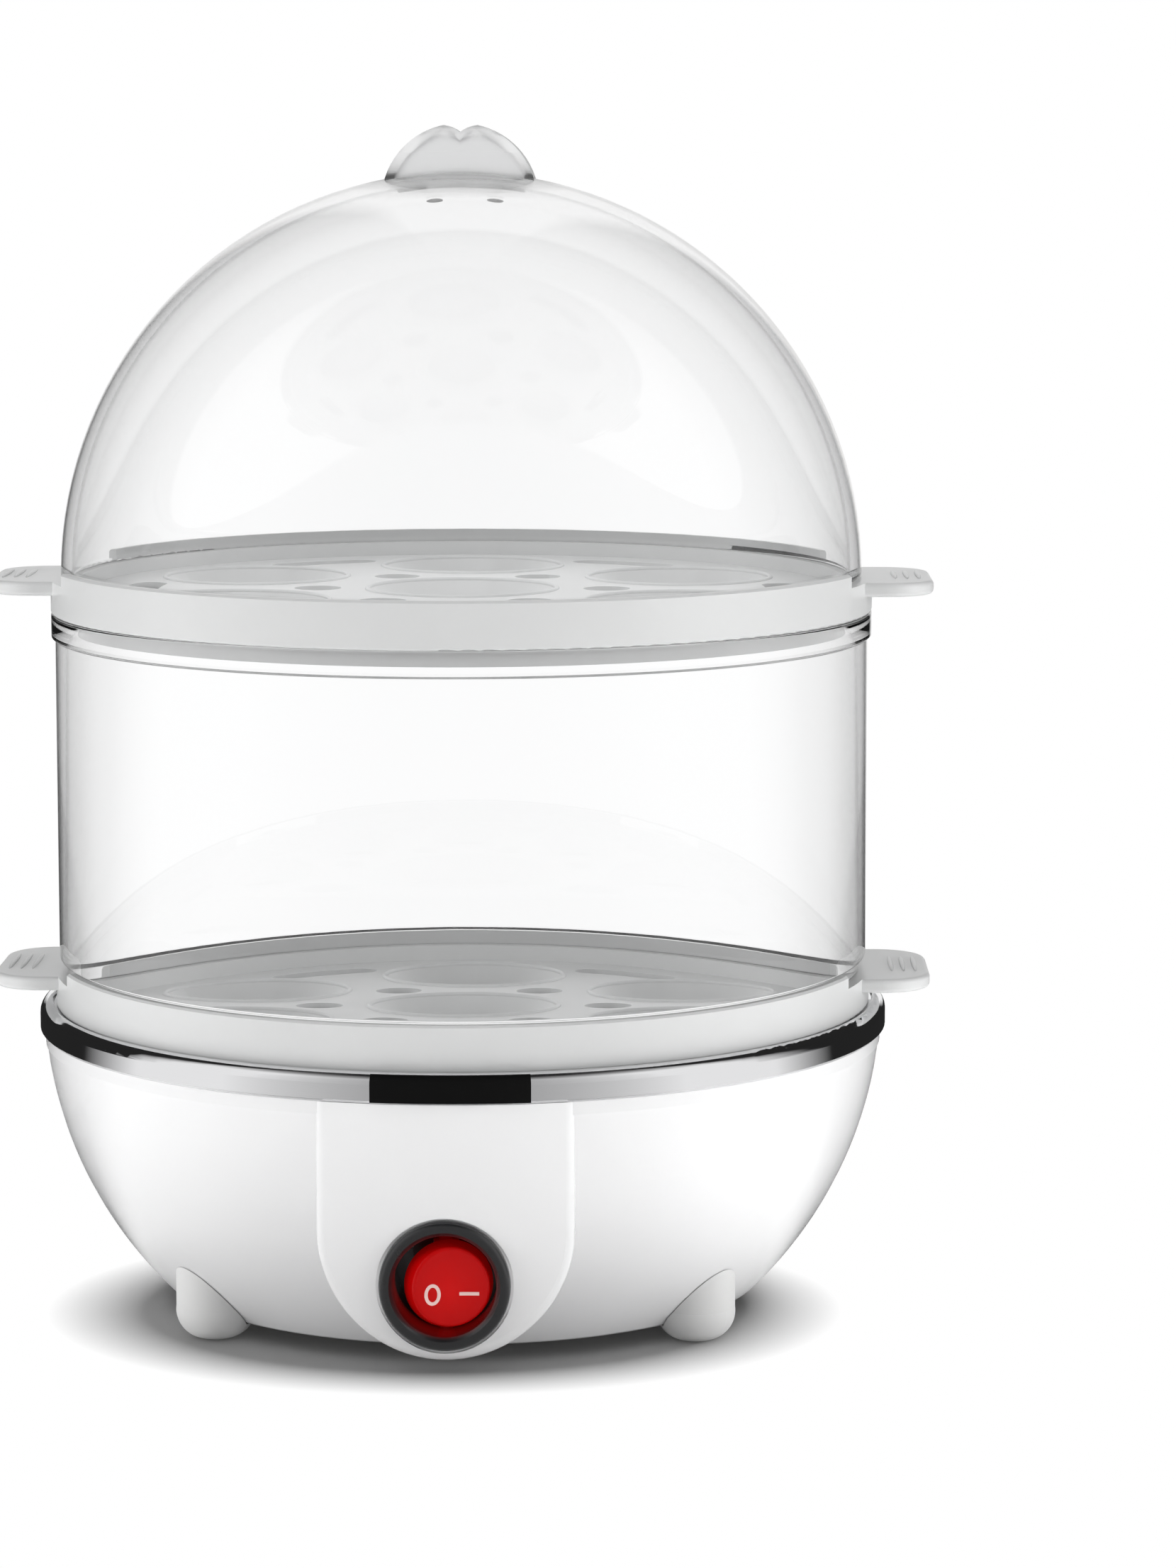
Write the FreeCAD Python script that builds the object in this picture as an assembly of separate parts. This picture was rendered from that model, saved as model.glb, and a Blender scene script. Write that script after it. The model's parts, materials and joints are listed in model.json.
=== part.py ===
import FreeCAD, Part
import math
import os

# Two-layer electric egg boiler, millimetres.
# Frame: origin on the surface it stands on, under the common axis of bowl, trays and lid.
# +Z is up, and the rocker switch faces -Y.

# ---------------------------------------------------------------- driving dimensions
# base housing: a moulded bowl, open above and below
stand_height = 3.0            # clear height under the bowl
bowl_height = 48.5            # bottom edge to the visible top edge
bowl_top_radius = 78.5
bowl_bottom_radius = 56.0
bowl_arc_radius = 76.5        # curvature of the bowl's side
bowl_edge_round = 1.5
housing_wall = 2.4
lip_height = 3.0              # hidden lip that carries the steel dish
lip_step = 0.8                # lip set back from the bowl's face
flange_width = 7.0            # ring inside the bottom opening that the cover screws to
cover_skirt = 3.0             # width of the housing's bottom edge outside the cover

# apron: the raised panel that carries the switch
apron_stand = 0.5             # apron's face outside the bowl's top edge
apron_half_width = 22.5
apron_bottom_rise = 3.0       # apron's lower end above the bowl's bottom edge
apron_round_height = 22.0     # height of the half-ellipse that closes the panel below
apron_edge_round = 2.0

# rocker switch, the common round panel type for a 20.2 mm hole
switch_rise = 13.5            # switch's middle above the apron's lower end
panel_clearance = 0.1         # barrel to its hole in the panel
bezel_width = 1.5             # bezel's edge outside the barrel
bezel_thickness = 2.0
bezel_round = 1.2
bezel_slope = 0.7             # slope that leads from the bezel's face into its bore
switch_seat_depth = 0.9       # flat cut into the round panel for the bezel
seat_margin = 0.5
barrel_radius = 10.0
barrel_wall = 1.0
barrel_depth = 16.0
barrel_floor = 2.0
snap_wing_reach = 1.0
snap_wing_length = 5.0
snap_wing_width = 5.0
snap_wing_root = 0.3          # wing's root inside the barrel's face
snap_wing_gap = 0.1           # wing behind the panel
rocker_gap = 1.2              # rocker's widest part to the barrel's bore
rocker_taper = 1.1            # rocker's face smaller than its base, in radius
rocker_tilt = 9.0             # degrees each way from the middle
rocker_recess = 0.6           # middle of the rocker's face below the bezel's front
rocker_depth = 7.0            # middle of the rocker's face to its pivot
rocker_skirt = 3.0            # middle of the rocker's face to the cap's underside
rocker_round = 0.6
rocker_hub_half = 2.2
rocker_hub_end_gap = 2.1      # hub's end to the barrel's bore
pivot_radius = 1.2
pivot_clearance = 0.06
pivot_end_gap = 0.3
plunger_radius = 1.8
plunger_length = 3.5
lamp_radius = 1.8
lamp_length = 9.0
tab_thickness = 0.8
tab_width = 4.8
tab_length = 8.0
tab_spacing = 5.0
tab_clearance = 0.05
tab_hole_radius = 0.9
tab_hole_offset = 2.4         # hole's middle from the tab's free end

# feet
foot_radius = 7.2
foot_flat_radius = 3.2
foot_round_height = 6.0
foot_offset = 2.0             # foot's middle outside the bowl's bottom edge
foot_clearance = 0.15         # foot to bowl, and stem to socket
foot_stem_radius = 2.5
foot_stem_height = 15.0
foot_angle = 41.0             # each foot's angle from the line of the ears
socket_wall = 2.4
socket_floor = 1.5

# bottom cover and its screws
cover_thickness = 2.2
cover_recess = 0.2            # cover's face above the housing's bottom edge
cover_clearance = 0.3         # cover's rim to the housing
locating_rib_height = 4.0
locating_rib_wall = 1.6
locating_clearance = 0.4
vent_count = 6
vent_width = 2.4
vent_length = 26.0
vent_pitch = 5.6
vent_inset = 21.5             # middle of the vents inside the locating rib
screw_radius = 1.5
screw_head_radius = 2.8
screw_head_height = 1.6
screw_length = 8.0
screw_count = 3
screw_angle = 30.0            # clear of the cord's way from gland to clamp
screw_boss_radius = 4.0
screw_boss_height = 6.0
screw_bite = 0.05             # thread wider than its pilot hole
screw_clearance = 0.3         # shank to the cover's hole
sink_clearance = 0.1          # head to the cover's countersink
screw_slot_width = 0.8
screw_slot_depth = 0.6
pilot_spare = 1.0             # pilot hole past the screw's tip

# steel dish with its rolled band
sheet = 0.8
band_overhang = 1.0           # band's face outside the bowl's top edge
band_width = 2.6              # band's face to the outer edge of the tray seat
band_height = 5.4
band_round = 2.0
band_hem = 0.6                # band's lower edge, turned in
band_lean = 0.3               # lean of the step between tray seat and band
seat_step = 0.6               # tray seat below the top of the band
seat_width = 3.2              # width of the tray seat
dish_depth = 9.2              # tray seat to the dish's floor
dish_straight = 4.2           # upright part of the dish's wall
dish_taper = 6.7              # dish's floor inside its upright wall
dish_floor_round = 3.0
stud_radius = 2.0
stud_length = 15.0
stud_inset = 7.0              # studs inside the edge of the dish's floor
stud_count = 3
stud_angle = 60.0
seal_width = 1.7

# housing arms that the dish is bolted down to
arm_width = 12.0
arm_thickness = 2.6
arm_drop = 8.0                # dish's underside to the arm's top
arm_rib = 2.0
arm_rib_height = 10.0
arm_rib_gap = 7.0             # stud's middle to the gusset
arm_hole_clearance = 0.4
nut_across_flats = 7.0
nut_height = 3.2
washer_radius = 4.5
washer_thickness = 0.8
washer_clearance = 0.2

# heater under the dish
spreader_inset = 23.0         # spreader inside the edge of the dish's floor
spreader_thickness = 1.6
spreader_hole_radius = 9.0
element_radius = 3.3
element_inset = 8.0           # element's loop inside the spreader's edge
element_gap_angle = 50.0      # open part of the loop, towards the back
element_pin_radius = 1.2
element_pin_length = 9.0
strap_thickness = 1.2
strap_width = 10.0
strap_gap = 4.7               # strap's end to the element's loop
strap_eye_wall = 3.0          # strap's width round the thermostat
strap_clearance = 0.2
strap_post_radius = 2.0
strap_nut_radius = 4.0
strap_nut_height = 1.6
thermostat_cap_radius = 8.0
thermostat_cap_height = 5.0
thermostat_body_radius = 7.2
thermostat_body_height = 7.5
thermostat_tab_length = 7.0
thermostat_tab_offset = 3.6
fuse_radius = 2.0
fuse_length = 14.0
fuse_gap = 7.7                # fuse to the element's loop

# terminal block and cord clamp on the cover, gland in the back of the housing
block_width = 30.0
block_depth = 14.0
block_height = 12.0
block_to_clamp = 16.0         # middle to middle
block_pole_count = 3
block_pole_pitch = 9.0
block_wire_radius = 1.5
block_screw_radius = 1.9
block_screw_length = 3.0
block_screw_gap = 1.0         # screw's tip above the middle of its wire hole
block_well_clearance = 0.3
clamp_width = 24.0
clamp_depth = 8.0
clamp_height = 6.0
clamp_post_height = 3.0
clamp_post_radius = 3.0
clamp_post_offset = 8.0
clamp_inset = 7.5             # clamp's middle inside the locating rib
clamp_arch_radius = 3.4
gland_z = 20.0
gland_bore_radius = 3.2
gland_neck_radius = 5.9
gland_flange_radius = 8.2
gland_flange_thickness = 2.0
gland_back_radius = 7.2       # flange inside the housing, pressed through the hole
gland_clearance = 0.1
gland_boss_stand = 2.54       # boss's face outside the bowl at the gland's height
gland_wall = 11.5
gland_boss_radius = 9.5

# egg trays, the same moulding used twice
tray_clearance = 0.5          # tray's rim to the band's step
tray_wall = 1.6
tray_rim_height = 8.6
tray_ledge_height = 6.2
tray_floor_height = 3.6
tray_floor_thickness = 1.8
tray_spigot_clearance = 0.7   # spigot to the wall that it drops into
tray_spigot_depth = 3.0
tray_edge_round = 0.5          # under the rim
tray_rim_chamfer = 0.4         # along the rim's top, outside
seat_edge_gap = 6.9           # outer egg seats to the spigot's inside
seat_count = 6
seat_first_angle = -90.0
seat_mouth_radius = 17.5
seat_hole_radius = 13.0
seat_depth = 4.6
slot_inset = 11.4             # steam slots' middle to the spigot's inside
slot_half_angle = 7.5
slot_width = 6.5
drain_inset = 20.0            # drain holes' circle inside that of the egg seats
drain_hole_radius = 4.4
ear_length = 11.1             # ear's tip outside the tray's rim
ear_half_width = 17.0
ear_thickness = 2.6
ear_corner = 9.0
ear_edge_round = 0.9
saddle_half_width = 26.5      # rim cut down beside each ear

# clear middle ring
ring_wall = 2.0
ring_set_in = 0.7             # ring's wall inside the trays' rim
ring_height = 67.4            # ledge of the lower tray to the ring's top
ring_flange_height = 4.6
ring_flange_round = 0.6
ring_spigot_clearance = 0.3
ring_shoulder_gap = 0.3

# clear lid
lid_clearance = 0.3           # lid to the tray's rim
lid_wall = 2.0
grip_half_width = 13.7
grip_height = 9.8
grip_flank_half = 10.2        # half width where the flanks bulge most
grip_flank_rise = 5.9
grip_lobe_x = 3.2
grip_lobe_side = 1.4
grip_lobe_drop = 0.45
grip_notch_depth = 1.3
grip_half_depth = 8.0
grip_top_half_depth = 5.0
grip_wall = 1.8
grip_sink = 6.0               # how far the grip's solid reaches down into the dome
vent_hole_radius = 1.6
vent_hole_angle = 15.0        # degrees from the top of the dome, behind the grip
vent_hole_spread = 18.0       # degrees to each side

# ---------------------------------------------------------------- heights and places
bowl_bottom_z = stand_height
bowl_top_z = bowl_bottom_z + bowl_height
lip_outer_radius = bowl_top_radius - lip_step
lip_inner_radius = lip_outer_radius - housing_wall
lip_top_z = bowl_top_z + lip_height
lip_blend_z = bowl_top_z - housing_wall
inner_arc_radius = bowl_arc_radius - housing_wall
cover_bottom_z = bowl_bottom_z + cover_recess
cover_top_z = cover_bottom_z + cover_thickness
flange_top_z = cover_top_z + housing_wall
cover_pocket_radius = bowl_bottom_radius - cover_skirt
flange_inner_radius = cover_pocket_radius - flange_width
screw_pitch_radius = (flange_inner_radius + cover_pocket_radius) / 2.0
rib_outer_radius = screw_pitch_radius - screw_boss_radius - locating_clearance
rib_inner_radius = rib_outer_radius - locating_rib_wall
foot_pitch_radius = bowl_bottom_radius + foot_offset

apron_radius = bowl_top_radius + apron_stand
apron_bottom_z = bowl_bottom_z + apron_bottom_rise
switch_z = apron_bottom_z + switch_rise
seat_face_y = -apron_radius + switch_seat_depth
bezel_front_y = seat_face_y - bezel_thickness
panel_back_y = seat_face_y + housing_wall
barrel_end_y = seat_face_y + barrel_depth
barrel_floor_y = barrel_end_y - barrel_floor
barrel_bore_radius = barrel_radius - barrel_wall
panel_hole_radius = barrel_radius + panel_clearance
bezel_radius = barrel_radius + bezel_width
rocker_base_radius = barrel_bore_radius - rocker_gap
rocker_face_radius = rocker_base_radius - rocker_taper
rocker_half_hub = barrel_bore_radius - rocker_hub_end_gap
tilt = math.radians(rocker_tilt)
pivot_y = bezel_front_y + rocker_recess + rocker_depth * math.cos(tilt)

band_radius = bowl_top_radius + band_overhang
band_top_z = bowl_top_z + band_height
seat_outer_radius = band_radius - band_width
dish_inner_radius = seat_outer_radius - seat_width
dish_floor_radius = dish_inner_radius - dish_taper
tray_seat_z = band_top_z - seat_step
dish_floor_z = tray_seat_z - dish_depth
dish_under_z = dish_floor_z - sheet
stud_pitch_radius = dish_floor_radius - stud_inset
arm_top_z = dish_under_z - arm_drop
arm_bottom_z = arm_top_z - arm_thickness
spreader_radius = dish_floor_radius - spreader_inset
spreader_bottom_z = dish_under_z - spreader_thickness
element_loop_radius = spreader_radius - element_inset
element_z = spreader_bottom_z - element_radius
loop_inner_radius = element_loop_radius - element_radius
strap_reach = loop_inner_radius - strap_gap - strap_width / 2.0
fuse_offset = loop_inner_radius - fuse_gap - fuse_radius
strap_top_z = dish_under_z - thermostat_cap_height
strap_bottom_z = strap_top_z - strap_thickness
clamp_y = rib_inner_radius - clamp_inset
block_y = clamp_y - block_to_clamp
block_well_z = cover_top_z + block_height / 2.0

tray_radius = seat_outer_radius - tray_clearance
tray_spigot_radius = dish_inner_radius - tray_spigot_clearance
ledge_outer_radius = tray_radius - tray_wall
ledge_inner_radius = tray_spigot_radius - tray_wall
tray_floor_low = tray_floor_height - tray_floor_thickness
seat_ring_radius = ledge_inner_radius - seat_mouth_radius - seat_edge_gap
slot_radius = ledge_inner_radius - slot_inset
drain_ring_radius = seat_ring_radius - drain_inset
ring_outer_radius = tray_radius - ring_set_in
ring_bottom_z = tray_seat_z + tray_ledge_height
ring_top_z = ring_bottom_z + ring_height
lid_radius = ledge_outer_radius - lid_clearance
lid_base_z = ring_top_z + tray_ledge_height

AXIS = FreeCAD.Vector(0, 0, 1)
BACK = FreeCAD.Vector(0, 1, 0)
RIGHT = FreeCAD.Vector(1, 0, 0)
CENTRE = FreeCAD.Vector(0, 0, 0)
FAR = 200.0                   # longer than any piece, for cutting tools
NEAR = 0.01                   # how close an edge lies to the place it is picked by


# ---------------------------------------------------------------- drawing helpers
def at(x, y, z=0.0):
    """Return a point."""
    return FreeCAD.Vector(x, y, z)


def section_point(r, z):
    """Return a point of a half section, at radius r and height z."""
    return FreeCAD.Vector(r, 0, z)


def polar_point(radius, degrees, z=0.0):
    """Return the point at a radius and an angle about the main axis."""
    a = math.radians(degrees)
    return FreeCAD.Vector(radius * math.cos(a), radius * math.sin(a), z)


def turning_direction(point):
    """Return the direction of travel about the main axis at a point."""
    return FreeCAD.Vector(-point.y, point.x, 0).normalize()


def line(a, b):
    """Return a straight edge."""
    return Part.LineSegment(a, b).toShape()


def arc(a, middle, b):
    """Return the circular edge through three points."""
    return Part.Arc(a, middle, b).toShape()


def arc_centre(a, b, radius):
    """Return the centre of the arc from a to b that bulges to the right of a to b, in a section."""
    half = (b - a) * 0.5
    rise = math.sqrt(radius ** 2 - half.Length ** 2)
    side = FreeCAD.Vector(-half.z, 0, half.x).normalize()
    return a + half + side * rise


def arc_point(centre, radius, z):
    """Return the point at height z on the outer side of a section's circle."""
    return section_point(centre.x + math.sqrt(radius ** 2 - (z - centre.z) ** 2), z)


def section_arc(centre, radius, z_from, z_to):
    """Return the outer arc of a section's circle between two heights."""
    middle = (z_from + z_to) / 2.0
    return arc(arc_point(centre, radius, z_from), arc_point(centre, radius, middle),
               arc_point(centre, radius, z_to))


def rounded_path(corners):
    """Return edges along (point, radius) corners, each inner corner turned at its radius."""
    edges = []
    start = corners[0][0]
    for before, corner, after in zip(corners, corners[1:], corners[2:]):
        point, radius = corner
        to_before = (before[0] - point).normalize()
        to_after = (after[0] - point).normalize()
        if radius > 0:
            half = to_before.getAngle(to_after) / 2.0
            reach = radius / math.tan(half)
            enter = point + to_before * reach
            leave = point + to_after * reach
            bisector = (to_before + to_after).normalize()
            middle = point + bisector * (radius / math.sin(half) - radius)
            edges.append(line(start, enter))
            edges.append(arc(enter, middle, leave))
            start = leave
        else:
            edges.append(line(start, point))
            start = point
    edges.append(line(start, corners[-1][0]))
    return edges


def rounded_section(corners):
    """Return the closed outline through (r, z, radius) corners, the first of them sharp."""
    places = [(section_point(r, z), radius) for r, z, radius in corners]
    return rounded_path(places + places[:1])


def sheet_section(corners, thickness):
    """Return the closed outline of a bent sheet that lies to the right of its section path."""
    directions = [(b[0] - a[0]).normalize() for a, b in zip(corners, corners[1:])]
    normals = [section_point(d.z, -d.x) for d in directions]
    shifted = [(corners[0][0] + normals[0] * thickness, 0.0)]
    for index in range(1, len(corners) - 1):
        point, radius = corners[index]
        n1 = normals[index - 1]
        n2 = normals[index]
        spread = (n1 + n2) * (thickness / (1.0 + n1.dot(n2)))
        d1 = directions[index - 1]
        d2 = directions[index]
        left_turn = d1.x * d2.z - d1.z * d2.x > 0
        other = radius + thickness if left_turn else max(radius - thickness, 0.0)
        shifted.append((point + spread, other if radius > 0 else 0.0))
    shifted.append((corners[-1][0] + normals[-1] * thickness, 0.0))
    edges = rounded_path(corners)
    edges.append(line(corners[-1][0], shifted[-1][0]))
    edges.extend(rounded_path(list(reversed(shifted))))
    edges.append(line(shifted[0][0], corners[0][0]))
    return edges


def outline(points):
    """Return the straight edges round a list of points."""
    return [line(a, b) for a, b in zip(points, points[1:] + points[:1])]


def revolved(edges):
    """Return the solid that a half section sweeps about the main axis."""
    wire = Part.Wire(Part.__sortEdges__(edges))
    return Part.Face(wire).revolve(CENTRE, AXIS, 360)


def extruded(edges, direction):
    """Return the solid of a flat outline pushed along a direction."""
    return Part.Face(Part.Wire(Part.__sortEdges__(edges))).extrude(direction)


def tube(inner, outer, low, high):
    """Return an upright tube on the main axis."""
    return Part.makeCylinder(outer, high - low, section_point(0, low)).cut(
        Part.makeCylinder(inner, high - low, section_point(0, low)))


def upright(radius, low, high, x=0.0, y=0.0):
    """Return an upright round bar."""
    return Part.makeCylinder(radius, high - low, at(x, y, low), AXIS)


def across(radius, y_from, y_to, z, x=0.0):
    """Return a round bar along +Y."""
    return Part.makeCylinder(radius, y_to - y_from, at(x, y_from, z), BACK)


def block(x_from, x_to, y_from, y_to, z_from, z_to):
    """Return a box between two corners."""
    return Part.makeBox(x_to - x_from, y_to - y_from, z_to - z_from, at(x_from, y_from, z_from))


def turned(shape, degrees, centre=CENTRE, axis=AXIS):
    """Return a copy of a shape turned about an axis."""
    copy = shape.copy()
    copy.rotate(centre, axis, degrees)
    return copy


def pattern(shape, count, first=0.0):
    """Return copies of a shape spread evenly round the main axis."""
    return [turned(shape, first + 360.0 * i / count) for i in range(count)]


def foot_places(shape):
    """Return copies of a shape drawn on +X, one at each of the four feet."""
    return [turned(shape, half_turn + sign * foot_angle)
            for half_turn in (0.0, 180.0) for sign in (-1, 1)]


def joined(shapes):
    """Return one solid fused from touching shapes."""
    return shapes[0].fuse(shapes[1:]).removeSplitter()


def rounded_plate(half_x, half_y, corner, low, high):
    """Return an upright plate about the origin with round corners."""
    inner_x = half_x - corner
    inner_y = half_y - corner
    corners = [upright(corner, low, high, x, y)
               for x in (-inner_x, inner_x) for y in (-inner_y, inner_y)]
    return joined([block(-half_x, half_x, -inner_y, inner_y, low, high),
                   block(-inner_x, inner_x, -half_y, half_y, low, high)] + corners)


def round_ended_bar(half_length, radius, low, high):
    """Return an upright plate about the origin with half-round ends towards +X and -X."""
    reach = half_length - radius
    ends = [upright(radius, low, high, x) for x in (-reach, reach)]
    return joined([block(-reach, reach, -radius, radius, low, high)] + ends)


# ---------------------------------------------------------------- base housing
bowl_low = section_point(bowl_bottom_radius, bowl_bottom_z)
bowl_high = section_point(bowl_top_radius, bowl_top_z)
bowl_centre = arc_centre(bowl_low, bowl_high, bowl_arc_radius)
gland_face_y = arc_point(bowl_centre, bowl_arc_radius, gland_z).x + gland_boss_stand


def bowl_form(margin=0.0):
    """Return the bowl's outer form as one solid, larger by a margin."""
    radius = bowl_arc_radius + margin
    low_z = bowl_bottom_z - margin
    low = arc_point(bowl_centre, radius, low_z)
    high = arc_point(bowl_centre, radius, bowl_top_z)
    axis_low = section_point(0, low_z)
    axis_high = section_point(0, bowl_top_z)
    return revolved([line(axis_low, low), section_arc(bowl_centre, radius, low_z, bowl_top_z),
                     line(high, axis_high), line(axis_high, axis_low)])


def bowl_envelope():
    """Return the bowl's outer form with its lower edge rounded."""
    body = bowl_form()
    low_edges = [e for e in body.Edges if abs(e.BoundBox.ZMax - bowl_bottom_z) < NEAR
                 and e.BoundBox.XMax > bowl_bottom_radius / 2.0]
    return body.makeFillet(bowl_edge_round, low_edges)


def bowl_hollow():
    """Return the space inside the bowl, from the lip down through the bottom opening."""
    inner_low = arc_point(bowl_centre, inner_arc_radius, flange_top_z)
    inner_high = arc_point(bowl_centre, inner_arc_radius, lip_blend_z)
    return revolved([
        line(section_point(0, bowl_bottom_z), section_point(cover_pocket_radius, bowl_bottom_z)),
        line(section_point(cover_pocket_radius, bowl_bottom_z),
             section_point(cover_pocket_radius, cover_top_z)),
        line(section_point(cover_pocket_radius, cover_top_z),
             section_point(flange_inner_radius, cover_top_z)),
        line(section_point(flange_inner_radius, cover_top_z),
             section_point(flange_inner_radius, flange_top_z)),
        line(section_point(flange_inner_radius, flange_top_z), inner_low),
        section_arc(bowl_centre, inner_arc_radius, flange_top_z, lip_blend_z),
        line(inner_high, section_point(lip_inner_radius, bowl_top_z)),
        line(section_point(lip_inner_radius, bowl_top_z), section_point(0, bowl_top_z)),
        line(section_point(0, bowl_top_z), section_point(0, bowl_bottom_z))])


def apron_prism(inset):
    """Return the apron's U-shaped outline pushed through the front, smaller by inset."""
    half = apron_half_width - inset
    top = bowl_top_z - inset
    bend_z = apron_bottom_z + apron_round_height
    drop = apron_round_height - inset
    if half >= drop:
        curve = Part.Ellipse(at(half, -FAR, bend_z), at(0, -FAR, bend_z - drop),
                             at(0, -FAR, bend_z))
        start, end = 0.0, math.pi
    else:
        curve = Part.Ellipse(at(0, -FAR, bend_z - drop), at(half, -FAR, bend_z),
                             at(0, -FAR, bend_z))
        start, end = -0.5 * math.pi, 0.5 * math.pi
    left = at(-half, -FAR, bend_z)
    right = at(half, -FAR, bend_z)
    left_top = at(-half, -FAR, top)
    right_top = at(half, -FAR, top)
    return extruded([curve.toShape(start, end), line(right, right_top),
                     line(right_top, left_top), line(left_top, left)], BACK * FAR)


def apron_body():
    """Return the apron's outer form: the U outline bounded by an upright round face."""
    face = upright(apron_radius, bowl_bottom_z, bowl_top_z)
    body = apron_prism(0.0).common(face)
    front = [e for e in body.Edges if is_front_edge(e)]
    return body.makeFillet(apron_edge_round, front)


def is_front_edge(edge):
    """Tell whether an edge bounds the apron's face at its sides or below."""
    low, high = edge.ParameterRange
    samples = [edge.valueAt(low + (high - low) * k / 4.0) for k in range(5)]
    on_face = all(abs(math.hypot(p.x, p.y) - apron_radius) < NEAR for p in samples)
    at_top = all(abs(p.z - bowl_top_z) < NEAR for p in samples)
    return on_face and not at_top


def arm():
    """Return one arm, along +X, that the dish is bolted down to, with its gusset."""
    plate = joined([block(stud_pitch_radius, bowl_top_radius, -arm_width / 2.0, arm_width / 2.0,
                          arm_bottom_z, arm_top_z),
                    upright(arm_width / 2.0, arm_bottom_z, arm_top_z, stud_pitch_radius)])
    rib_points = [at(stud_pitch_radius + arm_rib_gap, -arm_rib / 2.0, arm_bottom_z),
                  at(bowl_top_radius, -arm_rib / 2.0, arm_bottom_z),
                  at(bowl_top_radius, -arm_rib / 2.0, arm_bottom_z - arm_rib_height)]
    rib = extruded(outline(rib_points), BACK * arm_rib)
    hole = upright(stud_radius + arm_hole_clearance, arm_bottom_z, arm_top_z, stud_pitch_radius)
    return joined([plate, rib]).cut(hole)


def screw_boss():
    """Return one boss, on +X, that a cover screw bites into."""
    return upright(screw_boss_radius, cover_top_z, flange_top_z + screw_boss_height,
                   screw_pitch_radius)


def foot_socket():
    """Return one socket, on +X, for a foot's stem."""
    top = bowl_bottom_z + foot_stem_height + socket_floor
    return upright(foot_stem_radius + socket_wall, bowl_bottom_z, top, foot_pitch_radius)


def base_housing():
    """Return the moulded housing: bowl, apron, lip, bosses, sockets, arms and gland boss."""
    envelope = bowl_envelope()
    apron_hollow = apron_prism(housing_wall).common(
        upright(apron_radius - housing_wall, bowl_bottom_z, bowl_top_z))
    shell = envelope.fuse(apron_body()).cut([bowl_hollow(), apron_hollow])
    lip = tube(lip_inner_radius, lip_outer_radius, lip_blend_z, lip_top_z)
    lip_root = tube(lip_inner_radius, bowl_top_radius, lip_blend_z, bowl_top_z)
    inner_parts = pattern(arm(), stud_count, stud_angle)
    inner_parts += pattern(screw_boss(), screw_count, screw_angle)
    inner_parts += foot_places(foot_socket())
    trimmed = [part.common(envelope) for part in inner_parts]
    seat_pad = across(bezel_radius + seat_margin, seat_face_y, panel_back_y, switch_z)
    gland_back_y = gland_face_y - gland_wall
    boss = across(gland_boss_radius, gland_back_y, gland_face_y, gland_z)
    shell = shell.fuse(trimmed + [lip, lip_root, seat_pad, boss])
    stem_hole = upright(foot_stem_radius + foot_clearance, 0.0,
                        bowl_bottom_z + foot_stem_height, foot_pitch_radius)
    pilot = upright(screw_radius - screw_bite, cover_top_z,
                    cover_bottom_z + screw_length + pilot_spare, screw_pitch_radius)
    tools = foot_places(stem_hole)
    tools += pattern(pilot, screw_count, screw_angle)
    tools.append(across(panel_hole_radius, -FAR, panel_back_y + housing_wall, switch_z))
    tools.append(across(bezel_radius + seat_margin, -FAR, seat_face_y, switch_z))
    tools.append(across(gland_neck_radius + gland_clearance,
                        gland_back_y - gland_flange_thickness, FAR, gland_z))
    tools.append(across(gland_boss_radius, gland_face_y, FAR, gland_z))
    return shell.cut(tools)


def foot():
    """Return one foot, on +X: a rounded pad under the bowl with a stem for its socket."""
    waist = math.sqrt(0.5)
    bulge = foot_radius - foot_flat_radius
    top_z = bowl_bottom_z + foot_stem_height
    profile = [line(section_point(0, 0), section_point(foot_flat_radius, 0)),
               arc(section_point(foot_flat_radius, 0),
                   section_point(foot_flat_radius + bulge * waist,
                                 foot_round_height * (1.0 - waist)),
                   section_point(foot_radius, foot_round_height)),
               line(section_point(foot_radius, foot_round_height),
                    section_point(foot_radius, top_z)),
               line(section_point(foot_radius, top_z), section_point(0, top_z)),
               line(section_point(0, top_z), section_point(0, 0))]
    pad = revolved(profile)
    pad.translate(at(foot_pitch_radius, 0, 0))
    stem = upright(foot_stem_radius, 0.0, top_z, foot_pitch_radius)
    return joined([pad.cut(bowl_form(foot_clearance)), stem])


def feet():
    """Return the four feet."""
    return Part.makeCompound(foot_places(foot()))


# ---------------------------------------------------------------- bottom cover
def bottom_cover():
    """Return the cover: a disc with vents, a locating rib and countersunk screw holes."""
    plate = upright(cover_pocket_radius - cover_clearance, cover_bottom_z, cover_top_z)
    rib = tube(rib_inner_radius, rib_outer_radius, cover_top_z,
               cover_top_z + locating_rib_height)
    posts = [upright(clamp_post_radius, cover_top_z, cover_top_z + clamp_post_height,
                     sign * clamp_post_offset, clamp_y) for sign in (-1, 1)]
    body = joined([plate, rib] + posts)
    sink = Part.makeCone(screw_head_radius + sink_clearance, screw_radius + screw_clearance,
                         screw_head_height, at(screw_pitch_radius, 0, cover_bottom_z))
    hole = upright(screw_radius + screw_clearance, cover_bottom_z, cover_top_z,
                   screw_pitch_radius)
    tools = pattern(sink, screw_count, screw_angle) + pattern(hole, screw_count, screw_angle)
    middle_y = vent_inset - rib_inner_radius
    for index in range(vent_count):
        slot = round_ended_bar(vent_length / 2.0, vent_width / 2.0, cover_bottom_z, cover_top_z)
        slot.translate(at(0, middle_y + vent_pitch * (index - (vent_count - 1) / 2.0), 0))
        tools.append(slot)
    return body.cut(tools)


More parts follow.
